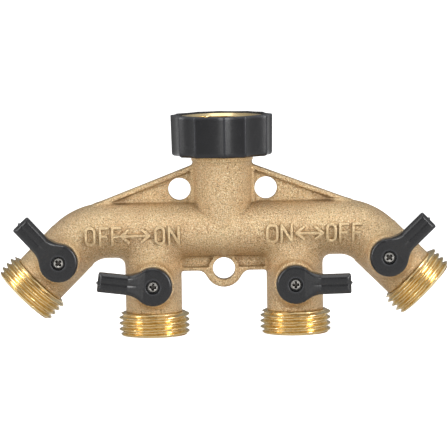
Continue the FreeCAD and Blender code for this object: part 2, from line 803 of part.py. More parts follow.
def lever_side(name):
    """The lever from its edge: flat hub, ramp, raised blade, with its nose sloped."""
    return prism(
        f"{name}_side",
        [
            ("-hub_r - 1", "0"),
            ("under_ramp_start", "0"),
            ("under_ramp_end", "blade_low"),
            ("blade_reach - tip_nose", "blade_low"),
            ("blade_reach", "blade_low + tip_nose_high"),
            ("blade_reach - tip_lean", "blade_top"),
            ("ramp_end", "blade_top"),
            ("ramp_start", "hub_high"),
            ("-hub_r - 1", "hub_high"),
        ],
        "-hub_r - 1", "hub_r + 1",
    )


def stop_slot(name):
    """The curved slot under the hub that the casting's stop post runs in."""
    travel = "(swing + overtravel)"
    ring = cut(
        f"{name}_slot_ring",
        cylinder(f"{name}_slot_outer", "stop_circle_r + stop_slot_r", "stop_slot_deep"),
        cylinder(f"{name}_slot_inner", "stop_circle_r - stop_slot_r", "stop_slot_deep"),
    )
    sector = cylinder(f"{name}_slot_sector", "hub_r", "stop_slot_deep")
    sector.setExpression("Angle", formula(travel))
    pieces = [common(f"{name}_slot_arc", [ring, sector])]
    for label, angle in (("start", "0"), ("end", travel)):
        pieces.append(cylinder(
            f"{name}_slot_{label}", "stop_slot_r", "stop_slot_deep",
            (f"stop_circle_r * cos({angle})", f"stop_circle_r * sin({angle})", "0"),
        ))
    return fuse(f"{name}_slot", pieces)


def lever(valve):
    """Plastic lever: plan and side outlines crossed, edges chamfered, then the holes."""
    name = f"handle_{valve.name}"
    crossed = common(f"{name}_crossed", [lever_plan(name), lever_side(name)])
    doc.recompute()

    def blade_edge(edge):
        low, high = edge.BoundBox.ZMin, edge.BoundBox.ZMax
        on_top = min(low, high) > size("blade_top") - 0.01
        return on_top and edge.BoundBox.XLength > edge.BoundBox.YLength

    bladed = eased(f"{name}_bladed", "Chamfer", crossed, blade_edge, size("blade_chamfer"))
    slot = stop_slot(name)
    half_travel = (size("swing") + size("overtravel")) / 2
    slot.Placement = Placement(Vector(), Rotation(Vector(0, 0, 1), -half_travel))
    hole = box(
        f"{name}_square_hole", "square_hole", "square_hole", "recess_floor + 1",
        ("-square_hole / 2", "-square_hole / 2", "-0.5"),
    )
    recess = cylinder(f"{name}_recess", "recess_r", "blade_top", ("0", "0", "recess_floor"))
    item = cut(name, bladed, fuse(f"{name}_holes", [slot, hole, recess]))
    moving_upright(valve, item)
    item.setExpression(".Placement.Base.y", formula("-lever_base"))
    return item


def lever_screw(valve):
    """Pan-head screw with a cross recess; its head bears on the floor of the lever's recess."""
    name = f"handle_screw_{valve.name}"
    seat_at = "lever_base + recess_floor"
    shape = turned(
        f"{name}_turned",
        [
            ("0", f"{seat_at} - screw_long"),
            ("screw_r - screw_point", f"{seat_at} - screw_long"),
            ("screw_r", f"{seat_at} - screw_long + screw_point"),
            ("screw_r", seat_at),
            ("screw_head_r", seat_at),
            ("screw_head_r", f"{seat_at} + screw_edge_high"),
            ("screw_head_r - screw_crown_in", f"{seat_at} + screw_head_high"),
            ("0", f"{seat_at} + screw_head_high"),
        ],
    )
    bars = [
        box(f"{name}_bar_{label}", long, wide, "2 * cross_deep",
            (f"-{long} / 2", f"-{wide} / 2", f"{seat_at} + screw_head_high - cross_deep"))
        for label, long, wide in (("a", "cross_long", "cross_wide"), ("b", "cross_wide", "cross_long"))
    ]
    return moving_upright(valve, cut(name, shape, fuse(f"{name}_cross", bars)))


# ---------------------------------------------------------------- swivel nut, cover, ring, washer

def round_axis(angle):
    return Rotation(Vector(0, 0, 1), angle)


def keys(name, fit):
    """The ribs that stop the cover turning on the nut; fit widens them all round."""
    blocks = []
    count = int(size("rib_count"))
    for number in range(count):
        turn = round_axis(360.0 / count * number + size("cover_turn"))
        block = box(
            f"{name}_{number}", f"nut_r - nut_recess_r - 1 + rib_proud + {fit}",
            f"rib_wide + 2 * {fit}", f"rib_top - rib_low + 2 * {fit}",
            ("0", "0", "0"), turn,
        )
        shift = turn.multVec(Vector(size("nut_recess_r") + 1, -size("rib_wide") / 2 - fit, 0))
        block.Placement = Placement(shift + Vector(0, 0, size("rib_low") - fit), turn)
        for letter in "xyz":
            block.setExpression(f".Placement.Base.{letter}", None)
        blocks.append(block)
    return blocks


def swivel_nut():
    """Brass nut with a lip under the snap ring, a washer recess and the female hose thread."""
    points = [
        ("nut_lip_bore_r", "nut_bottom"),
        ("nut_r - nut_foot_chamfer", "nut_bottom"),
        ("nut_r", "nut_bottom + nut_foot_chamfer"),
        ("nut_r", "nut_top - nut_rim_chamfer"),
        ("nut_r - nut_rim_chamfer", "nut_top"),
        ("nut_mouth_r", "nut_top"),
    ]
    crests = 3
    for number in range(crests):
        crest = f"nut_top - nut_last_crest - thread_pitch * {number}"
        points.append(("nut_thread_r", f"{crest} + thread_land / 2"))
        points.append(("nut_thread_r", f"{crest} - thread_land / 2"))
        if number < crests - 1:
            points.append(("nut_thread_root_r", f"{crest} - thread_pitch / 2 + thread_root_flat / 2"))
            points.append(("nut_thread_root_r", f"{crest} - thread_pitch / 2 - thread_root_flat / 2"))
    points += [
        ("nut_recess_r", "nut_recess_top"),
        ("nut_recess_r", "nut_lip_top"),
        ("nut_lip_bore_r", "nut_lip_top"),
    ]
    return fuse("swivel_nut", [turned("swivel_nut_turned", points)] + keys("nut_rib", 0.0))


def nut_cover():
    """Plastic grip over the nut: twelve shallow scallops, alternately wide and narrow."""
    high = "(cover_top - cover_bottom)"
    blank = primitive(
        "Cone", "cover_blank", ("0", "0", "cover_bottom"),
        Radius1=f"cover_r + 0.4 - {high} * tan(cover_draft)", Radius2="cover_r + 0.4", Height=high,
    )
    scallops = []
    angle = -90.0 + size("cover_turn")
    arcs = (size("cover_narrow_angle"), size("cover_wide_angle"))
    for number in range(12):
        arc = arcs[number % 2]
        half = math.radians(arc / 2)
        chord = size("cover_r") * math.sin(half)
        sagitta = size("cover_scallop") * arc / arcs[1]
        radius = (chord ** 2 + sagitta ** 2) / (2 * sagitta)
        reach = size("cover_r") * math.cos(half) - sagitta + radius
        turn = round_axis(angle + arc / 2).multiply(Rotation(Vector(0, 1, 0), size("cover_draft")))
        block = doc.addObject("Part::Cylinder", f"cover_scallop_{number}")
        block.Radius = radius
        block.Height = 3 * (size("cover_top") - size("cover_bottom"))
        middle = round_axis(angle + arc / 2).multVec(Vector(reach, 0, 0))
        top = Vector(middle.x, middle.y, size("cover_top"))
        block.Placement = Placement(top - turn.multVec(Vector(0, 0, block.Height.Value / 2)), turn)
        scallops.append(block)
        angle += arc
    shaped = cut("cover_shaped", blank, fuse("cover_scallops", scallops))
    doc.recompute()
    rounded = doc.addObject("Part::Fillet", "cover_rounded")
    rounded.Base = shaped
    rounds = []
    for number, edge in enumerate(shaped.Shape.Edges, start=1):
        if edge.BoundBox.ZLength > 0.01:
            continue
        at_foot = edge.BoundBox.ZMin < 0
        radius = size("cover_foot_round") if at_foot else size("cover_rim_round")
        rounds.append((number, radius, radius))
    rounded.Edges = rounds
    bore = cylinder("cover_bore", "cover_bore_r", f"{high} + 2", ("0", "0", "cover_bottom - 1"))
    inside = fuse("cover_inside", [bore] + keys("cover_key", size("rib_fit")))
    return cut("nut_cover", rounded, inside)


def snap_ring():
    """Split ring in the neck's groove, above the nut's lip."""
    ring = turned(
        "snap_ring_turned",
        tube_section(
            "snap_ring_in_r", "snap_ring_out_r", "snap_ring_low", "snap_ring_low + snap_ring_high"
        ),
    )
    gap = box(
        "snap_ring_split", "snap_ring_out_r + 1", "snap_ring_gap", "snap_ring_high + 2",
        ("0", "-snap_ring_gap / 2", "snap_ring_low - 1"),
    )
    return cut("snap_ring", ring, gap)


def hose_washer():
    return turned(
        "hose_washer",
        [
            ("washer_bore_r", "-washer_high"),
            ("washer_r - washer_round", "-washer_high"),
            ("washer_r", "-washer_high + washer_round"),
            ("washer_r", "-washer_round"),
            ("washer_r - washer_round", "0"),
            ("washer_bore_r", "0"),
        ],
    )


# ---------------------------------------------------------------- build, check and write

PER_VALVE = (
    tailpiece,
    ball,
    lambda valve: seat(valve, "inlet_seat", True),
    lambda valve: seat(valve, "outlet_seat", False),
    stem,
    stem_o_ring,
    lever,
    lever_screw,
)

parts = [casting(), swivel_nut(), nut_cover(), snap_ring(), hose_washer()]
for valve in VALVES:
    parts += [make(valve) for make in PER_VALVE]
doc.recompute()

for item in doc.Objects:
    if {"Invalid", "Error"} & set(item.State):
        raise RuntimeError(f"{item.Label} did not recompute: {item.State}")
for part in parts:
    if part.Shape.isNull() or not part.Shape.isValid():
        raise RuntimeError(f"{part.Label} has no valid shape")
    if len(part.Shape.Solids) != 1:
        raise RuntimeError(f"{part.Label} has {len(part.Shape.Solids)} solids, not 1")

os.makedirs("parts", exist_ok=True)
for part in parts:
    part.Shape.exportStep(f"parts/{part.Label}.step")
    print(f"{part.Label}: {part.Shape.Volume / 1000:.3f} cm3")
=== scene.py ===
"""Looks of the four-way brass hose splitter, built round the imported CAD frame.

Shapes are worked out in millimetres in the row frame and turned into metres when a mesh is made.
"""

import itertools
import json
import math

import bpy
import numpy as np
from mathutils import Matrix, Vector


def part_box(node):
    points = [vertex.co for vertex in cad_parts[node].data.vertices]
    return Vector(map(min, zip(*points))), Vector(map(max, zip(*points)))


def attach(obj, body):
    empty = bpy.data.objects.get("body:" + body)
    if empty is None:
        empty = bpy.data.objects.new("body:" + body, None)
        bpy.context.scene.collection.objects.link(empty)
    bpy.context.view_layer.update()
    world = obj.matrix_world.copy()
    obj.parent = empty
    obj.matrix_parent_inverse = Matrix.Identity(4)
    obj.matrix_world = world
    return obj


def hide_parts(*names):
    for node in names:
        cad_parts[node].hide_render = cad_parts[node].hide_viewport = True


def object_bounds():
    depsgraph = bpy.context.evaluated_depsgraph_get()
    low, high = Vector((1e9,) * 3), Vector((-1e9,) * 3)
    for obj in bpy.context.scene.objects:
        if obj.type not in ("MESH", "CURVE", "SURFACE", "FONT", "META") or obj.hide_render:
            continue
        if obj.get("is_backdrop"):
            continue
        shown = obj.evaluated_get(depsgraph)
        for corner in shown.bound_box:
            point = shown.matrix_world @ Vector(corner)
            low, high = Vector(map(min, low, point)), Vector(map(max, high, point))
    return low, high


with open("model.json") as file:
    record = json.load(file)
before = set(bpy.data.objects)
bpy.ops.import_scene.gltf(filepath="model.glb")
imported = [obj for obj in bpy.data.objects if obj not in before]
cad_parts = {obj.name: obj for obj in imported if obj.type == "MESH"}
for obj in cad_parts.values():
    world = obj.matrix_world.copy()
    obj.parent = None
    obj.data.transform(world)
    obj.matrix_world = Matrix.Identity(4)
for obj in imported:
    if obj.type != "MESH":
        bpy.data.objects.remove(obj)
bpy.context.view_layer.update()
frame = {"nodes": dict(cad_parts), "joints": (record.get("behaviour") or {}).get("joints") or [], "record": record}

MM = 0.001
COS45 = math.sqrt(0.5)
JOINTS = {joint["name"]: joint for joint in frame["joints"]}
NAMES = ("outer_left", "inner_left", "inner_right", "outer_right")


def node_mm(name):
    """A CAD node's lowest and highest corners."""
    low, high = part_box(name)
    return np.array(low) / MM, np.array(high) / MM


# ---------------------------------------------------------------- distance fields, in millimetres

FAR = 1e9
SLOPE_REACH = 0.02      # how far apart a gradient's two samples are
FLATTEST = 0.3          # least squared gradient that a step onto the surface trusts
SLAB_POINTS = 200000    # grid points worked out in one go
EVENING = 0.6           # share of the way a point moves to its neighbours' middle


def smin(a, b, k):
    """Union of two fields with a fillet about k wide."""
    h = np.maximum(k - np.abs(a - b), 0.0) / k
    return np.minimum(a, b) - h * h * k * 0.25


def smax(a, b, k):
    """What two fields share, with an edge rounded about k wide."""
    return -smin(-a, -b, k)


def corner(a, b, edge=0.0):
    """Where a and b are both negative, with the edge between them rounded."""
    a = a + edge
    b = b + edge
    return np.minimum(np.maximum(a, b), 0.0) + np.hypot(np.maximum(a, 0), np.maximum(b, 0)) - edge


def rod(p, start, way, radius, length, edge=0.0):
    """A round bar from start along the unit vector way."""
    q = p - np.array(start)
    along = q @ np.array(way)
    across = np.sqrt(np.maximum((q * q).sum(1) - along * along, 0.0))
    return corner(across - radius, np.abs(along - length / 2) - length / 2, edge)


def from_line(u, v, au, av, du, dv):
    """Distance in a plane to the straight line from (au, av) to (au + du, av + dv)."""
    t = np.clip(((u - au) * du + (v - av) * dv) / (du * du + dv * dv), 0.0, 1.0)
    return np.hypot(u - au - t * du, v - av - t * dv)


def polygon(u, v, points):
    """Signed distance in a plane to a closed polygon."""
    best = np.full(u.shape, FAR)
    inside = np.zeros(u.shape, bool)
    for (au, av), (bu, bv) in zip(points, points[1:] + points[:1]):
        du, dv = bu - au, bv - av
        best = np.minimum(best, from_line(u, v, au, av, du, dv))
        if dv != 0:
            crosses = (av > v) != (bv > v)
            inside ^= crosses & (u < au + (v - av) * du / dv)
    return np.where(inside, -best, best)


def step_up(low, high, x):
    """0 below low, 1 above high and smooth between."""
    t = np.clip((x - low) / (high - low), 0.0, 1.0)
    return t * t * (3 - 2 * t)


def slope_of(field, points):
    """Value and gradient of a field."""
    value = field(points)
    parts = []
    for axis in range(3):
        shifted = points.copy()
        shifted[:, axis] += SLOPE_REACH
        parts.append((field(shifted) - value) / SLOPE_REACH)
    return value, np.stack(parts, 1)


def drawn(field, points, limit):
    """Points moved onto the field's surface, each by at most limit."""
    value, slope = slope_of(field, points)
    move = -value / np.maximum((slope * slope).sum(1), FLATTEST)
    shift = slope * move[:, None]
    length = np.linalg.norm(shift, axis=1)
    shift *= np.minimum(1.0, limit / np.maximum(length, 1e-9))[:, None]
    return points + shift


def net(field, low, high, step):
    """Surface nets: a point in each grid cell that the zero surface crosses, joined by quads."""
    counts = np.ceil((high - low) / step).astype(int) + 1
    axes = [low[i] + step * np.arange(counts[i]) for i in range(3)]
    values = np.empty(counts)
    slab = max(1, int(SLAB_POINTS / (counts[1] * counts[2])))
    for first in range(0, counts[0], slab):
        grid = np.meshgrid(axes[0][first:first + slab], axes[1], axes[2], indexing="ij")
        at = np.stack([g.ravel() for g in grid], 1)
        values[first:first + slab] = field(at).reshape(grid[0].shape)
    inside = values < 0
    corners_inside = sum(
        inside[i:counts[0] - 1 + i, j:counts[1] - 1 + j, k:counts[2] - 1 + k].astype(int)
        for i, j, k in itertools.product((0, 1), repeat=3)
    )
    active = (corners_inside > 0) & (corners_inside < 8)
    index = np.full(active.shape, -1)
    index[active] = np.arange(active.sum())
    points = low + step * (np.argwhere(active) + 0.5)
    quads = []
    for a in range(3):
        b, c = (a + 1) % 3, (a + 2) % 3
        lower = np.take(inside, range(counts[a] - 1), axis=a)
        upper = np.take(inside, range(1, counts[a]), axis=a)
        where = np.argwhere(lower != upper)
        keep = (where[:, b] > 0) & (where[:, b] < counts[b] - 1)
        keep &= (where[:, c] > 0) & (where[:, c] < counts[c] - 1)
        where = where[keep]
        ring = []
        for back_b, back_c in ((0, 0), (1, 0), (1, 1), (0, 1)):
            cell = where.copy()
            cell[:, b] -= back_b
            cell[:, c] -= back_c
            ring.append(index[tuple(cell.T)])
        ring = np.stack(ring, 1)
        turned = ~lower[tuple(where.T)]
        ring[turned] = ring[turned][:, ::-1]
        quads.append(ring)
    return points, np.concatenate(quads)


def skin(field, low, high, step, rounds=4):
    """The field's zero surface as points and quads, evened out along the surface."""
    points, quads = net(field, np.array(low, float), np.array(high, float), step)
    for _ in range(2):
        points = drawn(field, points, step)
    for _ in range(rounds):
        total = np.zeros_like(points)
        times = np.bincount(quads.ravel(), minlength=len(points)) * 2.0
        for k in range(4):
            near = points[quads[:, (k + 1) % 4]] + points[quads[:, (k + 3) % 4]]
            for axis in range(3):
                total[:, axis] += np.bincount(quads[:, k], near[:, axis], len(points))
        points = points + EVENING * (total / times[:, None] - points)
        points = drawn(field, points, step)
    points = drawn(field, points, step)
    return points, quads


# ---------------------------------------------------------------- making pieces

def make(name, points, faces, material, body, slot, matrix=None, sharp=None, marks=None):
    """A mesh piece from points in millimetres, riding on a CAD body."""
    mesh = bpy.data.meshes.new(name)
    mesh.from_pydata((np.asarray(points) * MM).tolist(), [], np.asarray(faces).tolist())
    mesh.shade_smooth()
    if sharp is not None:
        mesh.set_sharp_from_angle(angle=math.radians(sharp))
    for label, values in (marks or {}).items():
        mesh.attributes.new(label, "FLOAT", "POINT").data.foreach_set("value", values)
    mesh.materials.append(material)
    piece = bpy.data.objects.new(name, mesh)
    bpy.context.scene.collection.objects.link(piece)
    if matrix is not None:
        piece.matrix_world = matrix
    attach(piece, body)
    return piece


class Turning:
    """A closed turned shape made ring by ring, each ring with its marks."""

    def __init__(self, facets, *labels):
        self.angles = np.linspace(-math.pi, math.pi, facets, endpoint=False)
        self.points = []
        self.marks = {label: [] for label in labels}

    def ring(self, radius, height, *marks):
        """Radius, height and marks are numbers or one value per facet; a mark left out is 0."""
        r, z = (np.broadcast_to(np.asarray(v, float), self.angles.shape) for v in (radius, height))
        self.points.append(np.stack([r * np.cos(self.angles), r * np.sin(self.angles), z], 1))
        for values, mark in itertools.zip_longest(self.marks.values(), marks, fillvalue=0.0):
            values.append(np.broadcast_to(mark, self.angles.shape))

    def mesh(self):
        """Points, quads and marks, with the last ring joined to the first."""
        here = np.arange(len(self.angles))
        there = (here + 1) % len(self.angles)
        quads = []
        for i in range(len(self.points)):
            near = i * len(here)
            far = (i + 1) % len(self.points) * len(here)
            quads.append(np.stack([near + here, near + there, far + there, far + here], 1))
        marks = {label: np.concatenate(values) for label, values in self.marks.items()}
        return np.concatenate(self.points), np.concatenate(quads), marks


# ---------------------------------------------------------------- materials

def rgb(red, green, blue):
    """Linear colour from the 0 to 255 numbers of a screen colour."""
    def linear(c):
        c = c / 255
        return c / 12.92 if c <= 0.04045 else ((c + 0.055) / 1.055) ** 2.4

    return (linear(red), linear(green), linear(blue), 1.0)


class Paint:
    """A node material; constants go straight onto the Principled shader's own sockets."""

    def __init__(self, name, **constants):
        self.material = bpy.data.materials.new(name)
        self.material.use_nodes = True
        self.tree = self.material.node_tree
        self.shader = self.tree.nodes["Principled BSDF"]
        for socket, value in constants.items():
            self.shader.inputs[socket.replace("_", " ")].default_value = value
        self.where = self.add("ShaderNodeTexCoord").outputs["Object"]

    def add(self, kind, inputs=None, **settings):
        node = self.tree.nodes.new(kind)
        for key, value in settings.items():
            setattr(node, key, value)
        for key, value in (inputs or {}).items():
            self.put(node.inputs[key], value)
        return node

    def put(self, socket, value):
        if isinstance(value, bpy.types.NodeSocket):
            self.tree.links.new(value, socket)
        else:
            socket.default_value = value

    def noise(self, per_mm, detail=2.0, rough=0.5, stretch=(1, 1, 1), twist=0.0):
        """Smooth noise from 0 to 1, with about per_mm spots to the millimetre."""
        spot = self.add("ShaderNodeMapping", {"Vector": self.where, "Scale": stretch})
        return self.add("ShaderNodeTexNoise", {
            "Vector": spot.outputs["Vector"], "Scale": per_mm / MM, "Detail": detail,
            "Roughness": rough, "Distortion": twist,
        }).outputs["Fac"]

    def cells(self, per_mm):
        return self.add("ShaderNodeTexVoronoi", {
            "Vector": self.where, "Scale": per_mm / MM,
        }).outputs["Distance"]

    def mark(self, name):
        """A value that the mesh carries at each point, or 0 where it has none."""
        return self.add("ShaderNodeAttribute", attribute_name=name).outputs["Fac"]

    def span(self, value, low, high, to_low=0.0, to_high=1.0):
        """The value moved from the span low..high to to_low..to_high, and held inside it."""
        return self.add("ShaderNodeMapRange", {
            "Value": value, "From Min": low, "From Max": high, "To Min": to_low, "To Max": to_high,
        }).outputs["Result"]

    def math(self, operation, a, b):
        node = self.add("ShaderNodeMath", operation=operation)
        self.put(node.inputs[0], a)
        self.put(node.inputs[1], b)
        return node.outputs[0]

    def mix(self, share, a, b):
        node = self.add("ShaderNodeMix", data_type="RGBA", blend_type="MIX")
        for key, value in ((0, share), (6, a), (7, b)):
            self.put(node.inputs[key], value)
        return node.outputs[2]

    def tint(self, base, mask, share, colour):
        """The base with a colour over it: share of the way where the mask is 1."""
        return self.mix(self.math("MULTIPLY", mask, share), base, colour)

    def bump(self, height, strength, depth_mm, under=None):
        inputs = {"Height": height, "Strength": strength, "Distance": depth_mm * MM}
        if under is not None:
            inputs["Normal"] = under
        return self.add("ShaderNodeBump", inputs).outputs["Normal"]

    def done(self, colour, rough, normal):
        for key, value in (("Base Color", colour), ("Roughness", rough), ("Normal", normal)):
            self.put(self.shader.inputs[key], value)
        return self.material


def cast_brass():
    """Sand cast and shot blasted: coarse grain, tiny bright facets, slow changes of tone, painted shade in hollows
    and a painted highlight on edges.
    """
    paint = Paint("cast_brass_blasted", Metallic=1.0)
    grain = paint.noise(2.1, 3.0, 0.7)
    fine = paint.noise(2.7, 2.0, 0.6)
    pits = paint.cells(1.5)
    patches = paint.noise(0.09, 3.0, 0.55, twist=0.4)
    base = paint.mix(paint.span(patches, 0.38, 0.66), rgb(225, 194, 149), rgb(219, 184, 141))
    speck = paint.span(grain, 0.30, 0.70)
    base = paint.tint(base, paint.span(speck, 0.05, 0.6, 1.0, 0.0), 0.88, rgb(120, 84, 50))
    base = paint.tint(base, paint.span(fine, 0.52, 0.66), 0.84, rgb(255, 244, 206))
    # painted shade: darker brown deep in hollows and creases
    base = paint.tint(base, paint.span(paint.mark("painted_shade"), 0.12, 0.75), 0.75, rgb(104, 72, 42))
    # painted highlight: paler along sharp edges
    base = paint.tint(base, paint.span(paint.mark("edge"), 0.10, 0.55), 0.45, rgb(240, 216, 172))
    rough = paint.span(paint.math("ADD", grain, fine), 0.7, 1.3, 0.46, 0.28)
    uneven = paint.bump(paint.noise(0.35, 2.0, 0.5), 0.35, 0.5)
    grainy = paint.bump(grain, 1.0, 0.5, uneven)
    pitted = paint.bump(pits, 0.4, 0.25, grainy)
    return paint.done(base, rough, paint.bump(fine, 0.7, 0.16, pitted))


def turned_brass():
    """Bright machined brass: rings left by the tool, and painted shade that darkens the thread roots."""
    paint = Paint("turned_brass_bright", Metallic=1.0)
    rings = paint.noise(6.0, 2.0, 0.5, stretch=(0.04, 0.04, 1.0))
    tone = paint.noise(0.25, 2.0, 0.5)
    base = paint.mix(paint.span(tone, 0.35, 0.7), rgb(242, 222, 174), rgb(236, 212, 160))
    # painted shade: darker and warmer in the thread roots
    base = paint.tint(base, paint.mark("root_shade"), 0.25, rgb(214, 172, 108))
    rough = paint.span(rings, 0.3, 0.7, 0.19, 0.29)
    return paint.done(base, rough, paint.bump(rings, 0.25, 0.03))


def moulded(name, colour, sheen, rough_low, rough_high, grain, shine):
    """Moulded plastic: faint grain, cloudy gloss, a painted highlight on marked edges and dull marked faces."""
    paint = Paint(name, IOR=1.48, Specular_IOR_Level=shine)
    clouds = paint.noise(0.3, 3.0, 0.6)
    fine = paint.noise(5.0, 2.0, 0.55)
    base = paint.mix(paint.span(clouds, 0.35, 0.7), colour, sheen)
    # painted highlight: paler where the mesh marks an edge
    base = paint.tint(base, paint.mark("edge"), 0.5, rgb(96, 98, 104))
    rough = paint.span(paint.math("ADD", clouds, fine), 0.75, 1.25, rough_low, rough_high)
    rough = paint.math("ADD", rough, paint.math("MULTIPLY", paint.mark("dull"), 0.4))
    return paint.done(base, rough, paint.bump(fine, grain, 0.06))


def plated(name, colour, rough_low, rough_high):
    """Plated or bright steel: faintly cloudy, with painted shade in the screw's cross."""
    paint = Paint(name, Metallic=1.0)
    marks = paint.noise(1.2, 3.0, 0.6)
    duller = tuple(0.86 * c for c in colour[:3]) + (1.0,)
    base = paint.mix(paint.span(marks, 0.3, 0.75), colour, duller)
    # painted shade: near black in the screw's cross recess
    base = paint.mix(paint.span(paint.mark("painted_shade"), 0.05, 0.45), base, rgb(58, 54, 50))
    rough = paint.span(marks, 0.3, 0.7, rough_low, rough_high)
    return paint.done(base, rough, paint.bump(paint.noise(4.0), 0.12, 0.03))


def soft_solid(name, dark, light, rough_low, rough_high, shine):
    """Rubber or PTFE: two close tones and a fine grain."""
    paint = Paint(name, Specular_IOR_Level=shine)
    grain = paint.noise(3.0, 3.0, 0.6)
    base = paint.mix(paint.span(paint.noise(0.4), 0.3, 0.7), dark, light)
    rough = paint.span(grain, 0.3, 0.7, rough_low, rough_high)
    return paint.done(base, rough, paint.bump(grain, 0.3, 0.05))


CAST = cast_brass()
TURNED = turned_brass()
COVER = moulded("cover_plastic_satin", rgb(14, 14, 17), rgb(19, 19, 22), 0.18, 0.28, 0.15, 0.5)
LEVER = moulded("lever_plastic_matte", rgb(11, 11, 14), rgb(17, 17, 20), 0.22, 0.34, 0.3, 0.7)
NICKEL = plated("screw_nickel", rgb(205, 202, 196), 0.2, 0.32)
SPRING = plated("spring_steel", rgb(176, 178, 182), 0.2, 0.34)
CHROME = plated("ball_chrome", rgb(214, 214, 218), 0.05, 0.12)
PTFE = soft_solid("ptfe_white", rgb(228, 228, 224), rgb(236, 236, 232), 0.4, 0.55, 0.4)
RUBBER = soft_solid("rubber_black", rgb(30, 30, 31), rgb(38, 38, 39), 0.6, 0.8, 0.3)


# ---------------------------------------------------------------- the casting

# Heights called up are measured from the tube's axis, and the -X half mirrors the +X half.
TUBE_R = 10.65
STUB_R = 10.8
BEND_R = 19.0
ELBOW_X = 52.2          # where the tube's axis meets the outer outlet's
RUN_END = ELBOW_X - BEND_R * math.tan(math.radians(22.5))
INNER_AT = np.array(JOINTS["lever_inner_right"]["pos_m"]) / MM
OUTER_AT = np.array(JOINTS["lever_outer_right"]["pos_m"]) / MM
BALL_BELOW_TUBE = 20.2
TUBE_Z = INNER_AT[2] + BALL_BELOW_TUBE
TUBE_AT = (0, 0, TUBE_Z)
OUTER_WAY = (COS45, 0, -COS45)
OUTER_FROM = np.array([RUN_END + BEND_R * COS45, 0, TUBE_Z - BEND_R * (1 - COS45)])
BALL_TO_END = 11.3
OUTER_LONG = np.linalg.norm(OUTER_AT + BALL_TO_END * np.array(OUTER_WAY) - OUTER_FROM)
FRONT = (0, -1, 0)
FILLET = 3.4

NECK_R, NECK_SWELL = 10.75, 0.65
NECK_MIDDLE, NECK_HALF = 13.3, 13.7
COLLAR_R, COLLAR_HALF, COLLAR_UP = 11.8, 0.95, 27.05
SPIGOT_R, SPIGOT_HALF = 10.2, 16.8
GROOVE_R, GROOVE_HALF, GROOVE_UP = 9.3, 0.75, 31.95

HOLE_R = 4.25
WEB_HALF = 1.7
RIM_HALF = 2.8
UPPER_HOLE = (16.5, 15.5)
WEB_TOP = (11.4, 24.5)
WEB_TOE = (49.0, 10.2)
WEB_SLOPE = (WEB_TOP[1] - WEB_TOE[1]) / (WEB_TOE[0] - WEB_TOP[0])
RIM_WIDE = 1.75
RIM_SLANT = 1.07    # the rim's height for a width of 1, measured square to the slope
SUNK_X, SUNK_FOOT = 12.3, 6.65
LOWER_HOLE = -15.2
LUG_R = 7.05
LOW_WEB_X, LOW_WEB_DOWN = 17.5, 15.9
LOW_SUNK_X, LOW_SUNK_DOWN, LOW_SUNK_R = 15.8, 14.5, 5.9

BOSS_R, BOSS_OUT = 8.2, 13.6
POST_R, POST_OUT, POST_FROM_STEM = 0.9, 14.9, 5.2
POST_ANGLE = math.radians(41.5)

TUBE_BORE = 7.5
PORT_R = 4.6
CHAMBER_R, CHAMBER_BACK = 7.9, 7.2
STEM_COLLAR_R, STEM_COLLAR_OUT, STEM_BORE = 3.3, 8.2, 2.55


def outward(*parts):
    """Unit vectors, one row per point, with the given X, Y and Z parts."""
    v = np.stack(parts, 1)
    return v / np.maximum(np.linalg.norm(v, axis=1), 1e-6)[:, None]


def crossing(a, b, slope_a, slope_b, k):
    """Union with a fillet that dies away where the two surfaces run side by side."""
    aligned = (slope_a * slope_b).sum(1)
    width = 0.15 + k * np.sqrt(np.maximum(1.0 - aligned * aligned, 0.0))
    return smin(a, b, width)


def pipes(p, bend_off, tube_out, neck):
    """The tube with its bends, outer and inner stubs, and the neck standing on it."""
    x, y = p[:, 0], p[:, 1]
    level = np.zeros_like(x)
    run = rod(p, TUBE_AT, (1, 0, 0), TUBE_R, RUN_END)
    outer = rod(p, OUTER_FROM, OUTER_WAY, STUB_R, OUTER_LONG, 0.15)
    tube = smin(np.minimum(run, bend_off - TUBE_R), outer, 0.5)
    inner_from = np.array([INNER_AT[0], 0, TUBE_Z])
    inner = rod(p, inner_from, (0, 0, -1), STUB_R, TUBE_Z - INNER_AT[2] + BALL_TO_END, 0.15)
    body = crossing(tube, inner, tube_out, outward(x - INNER_AT[0], y, level), FILLET)
    return crossing(body, neck, tube_out, outward(x, y, level), 0.25)


def neck_and_collar(across, up):
    """The neck, which swells a little towards its collar."""
    radius = NECK_R + NECK_SWELL * step_up(2.0, 13.0, up)
    neck = corner(across - radius, np.abs(up - NECK_MIDDLE) - NECK_HALF, 0.2)
    collar = corner(across - COLLAR_R, np.abs(up - COLLAR_UP) - COLLAR_HALF, 0.25)
    return smin(neck, collar, 0.3)


def rimmed_web(outline, sunk, y):
    """A plate of the given outline, with a thicker rim wherever it is outside sunk."""
    plate = corner(outline, np.abs(y) - WEB_HALF, 0.3)
    rim = corner(smax(outline, -sunk, 0.4), np.abs(y) - RIM_HALF, 0.45)
    return smin(plate, rim, 0.7)


def upper_web(x, y, up):
    """The sloping web between the neck and the bend."""
    into_neck = 1.5
    outline = [(WEB_TOP[0] - into_neck, 0.0),
               (WEB_TOP[0] - into_neck, WEB_TOP[1] + into_neck * WEB_SLOPE),
               WEB_TOE, (RUN_END, 0.0)]
    sunk_top = WEB_TOP[1] - RIM_WIDE * RIM_SLANT - 0.8 * WEB_SLOPE
    sunk_toe = WEB_TOP[0] + (sunk_top - TUBE_R + 0.8 * WEB_SLOPE) / WEB_SLOPE + 4 / WEB_SLOPE
    sunk = [(SUNK_X, SUNK_FOOT), (SUNK_X, sunk_top), (sunk_toe, SUNK_FOOT)]
    return rimmed_web(polygon(x, up, outline), polygon(x, up, sunk), y)


